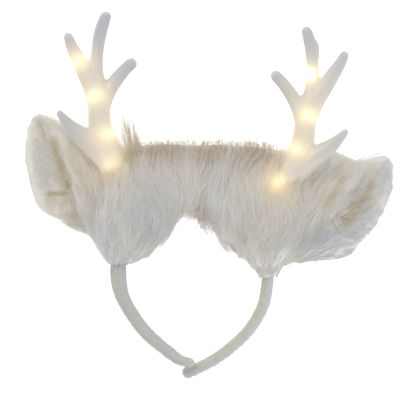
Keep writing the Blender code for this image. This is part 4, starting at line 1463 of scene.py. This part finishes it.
# %% Pile laid over the antlers' roots
HIGH_UP = 100
Veil = namedtuple("Veil", "from_x from_y to_x to_y aim_x aim_y count lift")
VEILS = (
    Veil(-64, 15, -52, 2, -46, -24, 16, 1.0),
    Veil(-43, 19, -37, 6, -50, -20, 16, 1.0),
    Veil(-57, 10, -44, 12, -48, -26, 12, 1.0),
    Veil(52, 9, 48, -2, 46, -30, 18, 1.0),
    Veil(74, 7, 64, -5, 52, -30, 18, 1.0),
    Veil(53, 1, 70, 1, 48, -34, 14, 1.0),
    Veil(-80, 4, -72, -20, -49, -62, 34, 2.2),
    Veil(-76, -14, -69, -32, -50, -62, 26, 1.6),
    Veil(-68, 4, -60, -20, -48, -60, 26, 1.8),
    Veil(84, 2, 74, -28, 50, -62, 28, 1.6),
    Veil(-33, -8, -24, -11, -42, -60, 8, 1.0),
)
rng = np.random.default_rng(51)
veil_guides = []
for veil in VEILS:
    for _ in range(veil.count):
        share = rng.random()
        x = (veil.from_x + (veil.to_x - veil.from_x) * share + rng.normal(0, 1.2)) * MM
        y = (veil.from_y + (veil.to_y - veil.from_y) * share + rng.normal(0, 1.2)) * MM
        root, normal, _, _ = over_all.ray_cast(Vector((x, y, HIGH_UP * MM)), DOWN)
        if root is None:
            continue
        aim = towards(veil.aim_x + rng.normal(0, 3), veil.aim_y + rng.normal(0, 3))
        run = rng.uniform(22, 32) * MM
        veil_guides.append(walk(over_all, root, normal, run, veil.lift * MM, 0.6, aim))
veils = long_pile(
    "antler_root_pile", veil_guides, strands=9, spread=1.9, gather=0.1,
    wave=2.0, wave_scale=100.0, radius=0.105, shortest=0.5, seed=51,
)

# %% Pile that runs out over the band at the two cuffs, with the same random draws going on
Cuff = namedtuple("Cuff", "from_x to_x y aim_x aim_y count")
CUFFS = (
    Cuff(-57.5, -45.5, -50.5, -52, -84, 34),
    Cuff(44.0, 56.5, -55.5, 51, -88, 34),
)
cuff_ground = tree_over(crown_pelt.data, band_cover.data)
cuff_guides = []
for cuff in CUFFS:
    for _ in range(cuff.count):
        x, y = rng.uniform(cuff.from_x, cuff.to_x), cuff.y + rng.normal(0, 1.2)
        root, normal, _, _ = cuff_ground.ray_cast(Vector((x, y, HIGH_UP)) * MM, DOWN)
        if root is None:
            continue
        run = rng.uniform(6, 12) * MM
        aim = towards(cuff.aim_x, cuff.aim_y)
        cuff_guides.append(walk(cuff_ground, root, normal, run, 0.35 * MM, 0.4, aim))
cuff_pile = long_pile(
    "cuff_pile", cuff_guides, strands=8, spread=1.4, gather=0.2,
    wave=1.0, wave_scale=100.0, radius=0.1, shortest=0.4, seed=54,
)

# %% Loose wisps over the crown
WISP_GUIDES, WISP_RUN = 150, 30 * MM


def seen_side(middles, normals):
    """Roots for wisps, on the side that faces up and clear of the cuffs."""
    inner = smooth_step(middles[:, 1], -42 * MM, -30 * MM)
    return smooth_step(normals[:, 2], 0.3, 0.8) * inner


wisp_guides = guides_over(
    crown_pelt.data, over_all, WISP_GUIDES, seen_side, lambda root, normal: WISP_RUN, 52,
    lift=2.2, unruly=0.42, keep=clear_of_antlers,
)
wisps = long_pile(
    "crown_wisps", wisp_guides, strands=8, spread=1.2, gather=0.6,
    wave=3.0, wave_scale=80.0, radius=0.1, shortest=0.6, seed=52,
)

# %% The ears' pile
EAR_GUIDES = 590
ear_hair = []
for label, pelt, ear, folds, lengths, seed in (
    ("left", left_pelt, LEFT_EAR, LEFT_FOLDS, (32, 20, 4), 21),
    ("right", right_pelt, RIGHT_EAR, RIGHT_FOLDS, (30, 22, 10), 22),
):
    guides = guides_over(
        pelt.data, over_all, EAR_GUIDES, upper_side, ear_pile_length(ear, *lengths), seed,
        lift=0.9, unruly=0.14, keep=clear_of_antlers,
    )
    ear_hair.append(long_pile(
        f"{label}_ear_hair", guides, folds, strands=9, spread=1.9, gather=0.1,
        wave=1.4, wave_scale=70.0, radius=0.1, shortest=0.5, seed=seed,
    ))

# %% [markdown]
# ## Short naps
#
# The band and the hollows of the ears have a nap of a millimetre or two. It is the same small
# spike many times over, so a Geometry Nodes tree scatters one and turns each to lean with the
# pile.

# %% The tree that scatters a nap
NAP_INPUTS = {
    "Geometry": "Geometry", "Density": "Float", "Length": "Float", "Width": "Float",
    "Lean": "Float", "Seed": "Int", "Finish": "Material",
}


def nap_group():
    """Points scattered over a mesh, with a leaning three-sided spike on each."""
    group, tree, given = new_group("short nap", NAP_INPUTS)
    scatter = group.nodes.new("GeometryNodeDistributePointsOnFaces")
    for label, wire in (("Mesh", "Geometry"), ("Density", "Density"), ("Seed", "Seed")):
        plug(group, scatter.inputs[label], given[wire])
    normal = Wire(group, scatter.outputs["Normal"])

    def chance(low, high, salt, kind="FLOAT"):
        values = {"Min": low, "Max": high, "Seed": given["Seed"] + salt}
        return tree.add("FunctionNodeRandomValue", values, "Value", data_type=kind)

    aside = chance((-1, -1, -1), (1, 1, 1), 1, "FLOAT_VECTOR")
    lean = tree.vector("ADD", tree.vector("SCALE", aside, scale=0.5), (0.0, -0.8, 0.0))
    upright = tree.vector("ADD", normal, tree.vector("SCALE", lean, scale=given["Lean"]))
    turn = tree.add("FunctionNodeAlignRotationToVector", {"Vector": upright}, axis="Z")
    values = {
        "Vertices": 3, "Radius Top": 0.0, "Radius Bottom": given["Width"], "Depth": given["Length"],
    }
    spike = tree.add("GeometryNodeMeshCone", values, fill_type="NGON")
    values = {
        "Points": Wire(group, scatter.outputs["Points"]), "Instance": spike,
        "Rotation": turn, "Scale": chance(0.6, 1.25, 2),
    }
    spikes = tree.add("GeometryNodeInstanceOnPoints", values)
    values = {"Geometry": spikes, "Name": "tone", "Value": chance(0.0, 1.0, 3)}
    toned = tree.add("GeometryNodeStoreNamedAttribute", values, domain="INSTANCE")
    real = tree.add("GeometryNodeRealizeInstances", {"Geometry": toned})
    smooth = tree.add("GeometryNodeSetShadeSmooth", {"Geometry": tree.off_floor(real)})
    done = tree.add("GeometryNodeSetMaterial", {"Geometry": smooth, "Material": given["Finish"]})
    plug(group, group.nodes.new("NodeGroupOutput").inputs["Geometry"], done)
    return group


NAP = nap_group()
print("the nap tree has", len(NAP.nodes), "nodes")

# %% The naps of the band and the ears
NAP_WIDTH, NAP_LEAN = 0.12 * MM, 0.9
naps = {}
for name, source, density, length, finish, seed in (
    ("band_nap", band_cover, 0.75, 1.3, BAND_NAP, 31),
    ("left_dish_nap", left_plush, 1.5, 1.2, SHORT_NAP, 32),
    ("right_dish_nap", right_plush, 1.5, 1.4, SHORT_NAP, 33),
    ("left_ear_nap", left_pelt, 0.4, 1.6, SHORT_NAP, 34),
    ("right_ear_nap", right_pelt, 0.4, 1.6, SHORT_NAP, 35),
):
    naps[name] = grown(
        name, NAP, source.data.copy(), density=density / MM**2, length=length * MM,
        width=NAP_WIDTH, lean=NAP_LEAN, seed=seed, finish=finish,
    )

# %% [markdown]
# ## Stray hairs
#
# A few tufts stand up from the top of the wrap, where the pile was cut. Under the middle of the
# wrap a little of it curls. Each tuft, and each curl, is a row of a table. Their guide lines
# are worked out from the row, with no walk over the ground, because they stand free of it.

# %% Tufts along the top
Tuft = namedtuple("Tuft", "x y to_x to_y bend count")
TUFTS = (
    Tuft(-41, 19, -49, 60, 2.0, 7),
    Tuft(-40, 18, -46, 54, -1.0, 9),
    Tuft(-38, 19, -43, 47, 2.0, 9),
    Tuft(-36, 20, -38, 41, 1.0, 8),
    Tuft(-32, 21, -35, 34, -1.0, 5),
    Tuft(-43, 17, -54, 47, 3.0, 7),
    Tuft(-22, 24, -24, 33, 1.0, 4),
    Tuft(-8, 25, -9, 32, 1.0, 3),
    Tuft(6, 25, 7, 31, 1.0, 3),
    Tuft(20, 24, 18, 32, -1.0, 3),
    Tuft(30, 22, 27, 33, -1.0, 6),
    Tuft(38, 22, 36, 36, 1.0, 6),
    Tuft(43, 21, 42, 37, 1.0, 7),
    Tuft(48, 20, 49, 36, -1.0, 7),
    Tuft(53, 18, 57, 34, 1.0, 6),
    Tuft(57, 17, 62, 31, -1.0, 4),
)
rng = np.random.default_rng(41)
tuft_guides = []
for tuft in TUFTS:
    for _ in range(tuft.count):
        above = Vector((tuft.x + rng.normal(0, 1.8), tuft.y + rng.normal(0, 1.0), 60)) * MM
        start = over_all.ray_cast(above, DOWN)[0]
        run = Vector((tuft.to_x - tuft.x + rng.normal(0, 1.5), tuft.to_y - tuft.y, 0)) * MM
        run *= rng.uniform(0.65, 1.1)
        side = Vector((-run.y, run.x, 0)).normalized() * tuft.bend * MM * rng.uniform(0.3, 1.2)
        points = []
        for k in range(GUIDE_STEPS + 1):
            t = k / GUIDE_STEPS
            points.append(start + run * t + side * math.sin(math.pi * t * 0.8))
        tuft_guides.append(Guide(points, UP, 1.0))
fringe = long_pile(
    "crown_fringe", tuft_guides, strands=7, spread=1.2, gather=0.3,
    wave=2.5, wave_scale=150.0, radius=0.12, shortest=0.65, seed=41,
)

# %% Curls under the middle of the wrap, with the same random draws going on
Curl = namedtuple("Curl", "x y turns width drop count")
CURLS = (
    Curl(3, -18, 1.3, 2.4, 7, 7),
    Curl(6, -20, 1.6, 2.8, 9, 9),
    Curl(9, -24, 1.2, 2.2, 8, 8),
    Curl(12, -28, 0.9, 1.8, 6, 6),
)
CURL_STEPS = 12
LOWEST, HIGHEST, SINK = 20, 36, 4
curl_guides = []
for curl in CURLS:
    for _ in range(curl.count):
        start = Vector((curl.x + rng.normal(0, 1.6), curl.y + rng.normal(0, 1.2), 0)) * MM
        start.z = rng.uniform(LOWEST, HIGHEST) * MM
        phase, width = rng.uniform(0, math.tau), curl.width * MM * rng.uniform(0.6, 1.2)
        points = []
        for k in range(CURL_STEPS + 1):
            t = k / CURL_STEPS
            angle = phase + curl.turns * math.tau * t
            loop = Vector((math.cos(angle), math.sin(angle), 0.4 * math.sin(angle))) * width * t
            points.append(start + Vector((0, -curl.drop * MM * t, -SINK * MM * t)) + loop)
        curl_guides.append(Guide(points, UP, 1.0))
curls = long_pile(
    "curls", curl_guides, strands=3, spread=0.5, gather=0.5,
    wave=1.0, wave_scale=150.0, radius=0.11, shortest=0.6, seed=42,
)

# %% [markdown]
# ## Handing the pieces over
#
# Each CAD node that a soft body, cover or shell stands in for is hidden, so the two are never
# seen together. Every piece rides the one body, because the headband has no joint. The pieces
# are listed under the names of the real thing's material slots.

# %% The object's pieces, as the frame knows them
REPLACED = {
    "headband": band_cover,
    "crown_wrap": crown_pelt,
    "left_ear": left_pelt,
    "right_ear": right_pelt,
    "left_ear_lining": left_plush,
    "right_ear_lining": right_plush,
    "left_antler": left_shell,
    "right_antler": right_shell,
}
for node, piece in REPLACED.items():
    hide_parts(node)

SLOTS = {
    "band_plush": (band_cover, naps["band_nap"]),
    "long_pile": (
        crown_pelt, left_pelt, right_pelt, far_pile, cuff_pile, fringe, curls, veils, wisps,
        *crown_hair, *ear_hair, naps["left_ear_nap"], naps["right_ear_nap"],
    ),
    "short_plush": (left_plush, right_plush, naps["left_dish_nap"], naps["right_dish_nap"]),
    "frosted_plastic": (left_shell, right_shell),
}
for slot, pieces in SLOTS.items():
    for piece in pieces:
        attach(piece, "root")

print("pieces handed over:", sum(len(pieces) for pieces in SLOTS.values()))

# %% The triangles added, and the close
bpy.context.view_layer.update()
added = [o for o in bpy.data.objects if o.type == "MESH" and o.name not in frame["nodes"]]
total = sum(len(f.vertices) - 2 for o in added for f in o.data.polygons)
print("triangles added:", total)
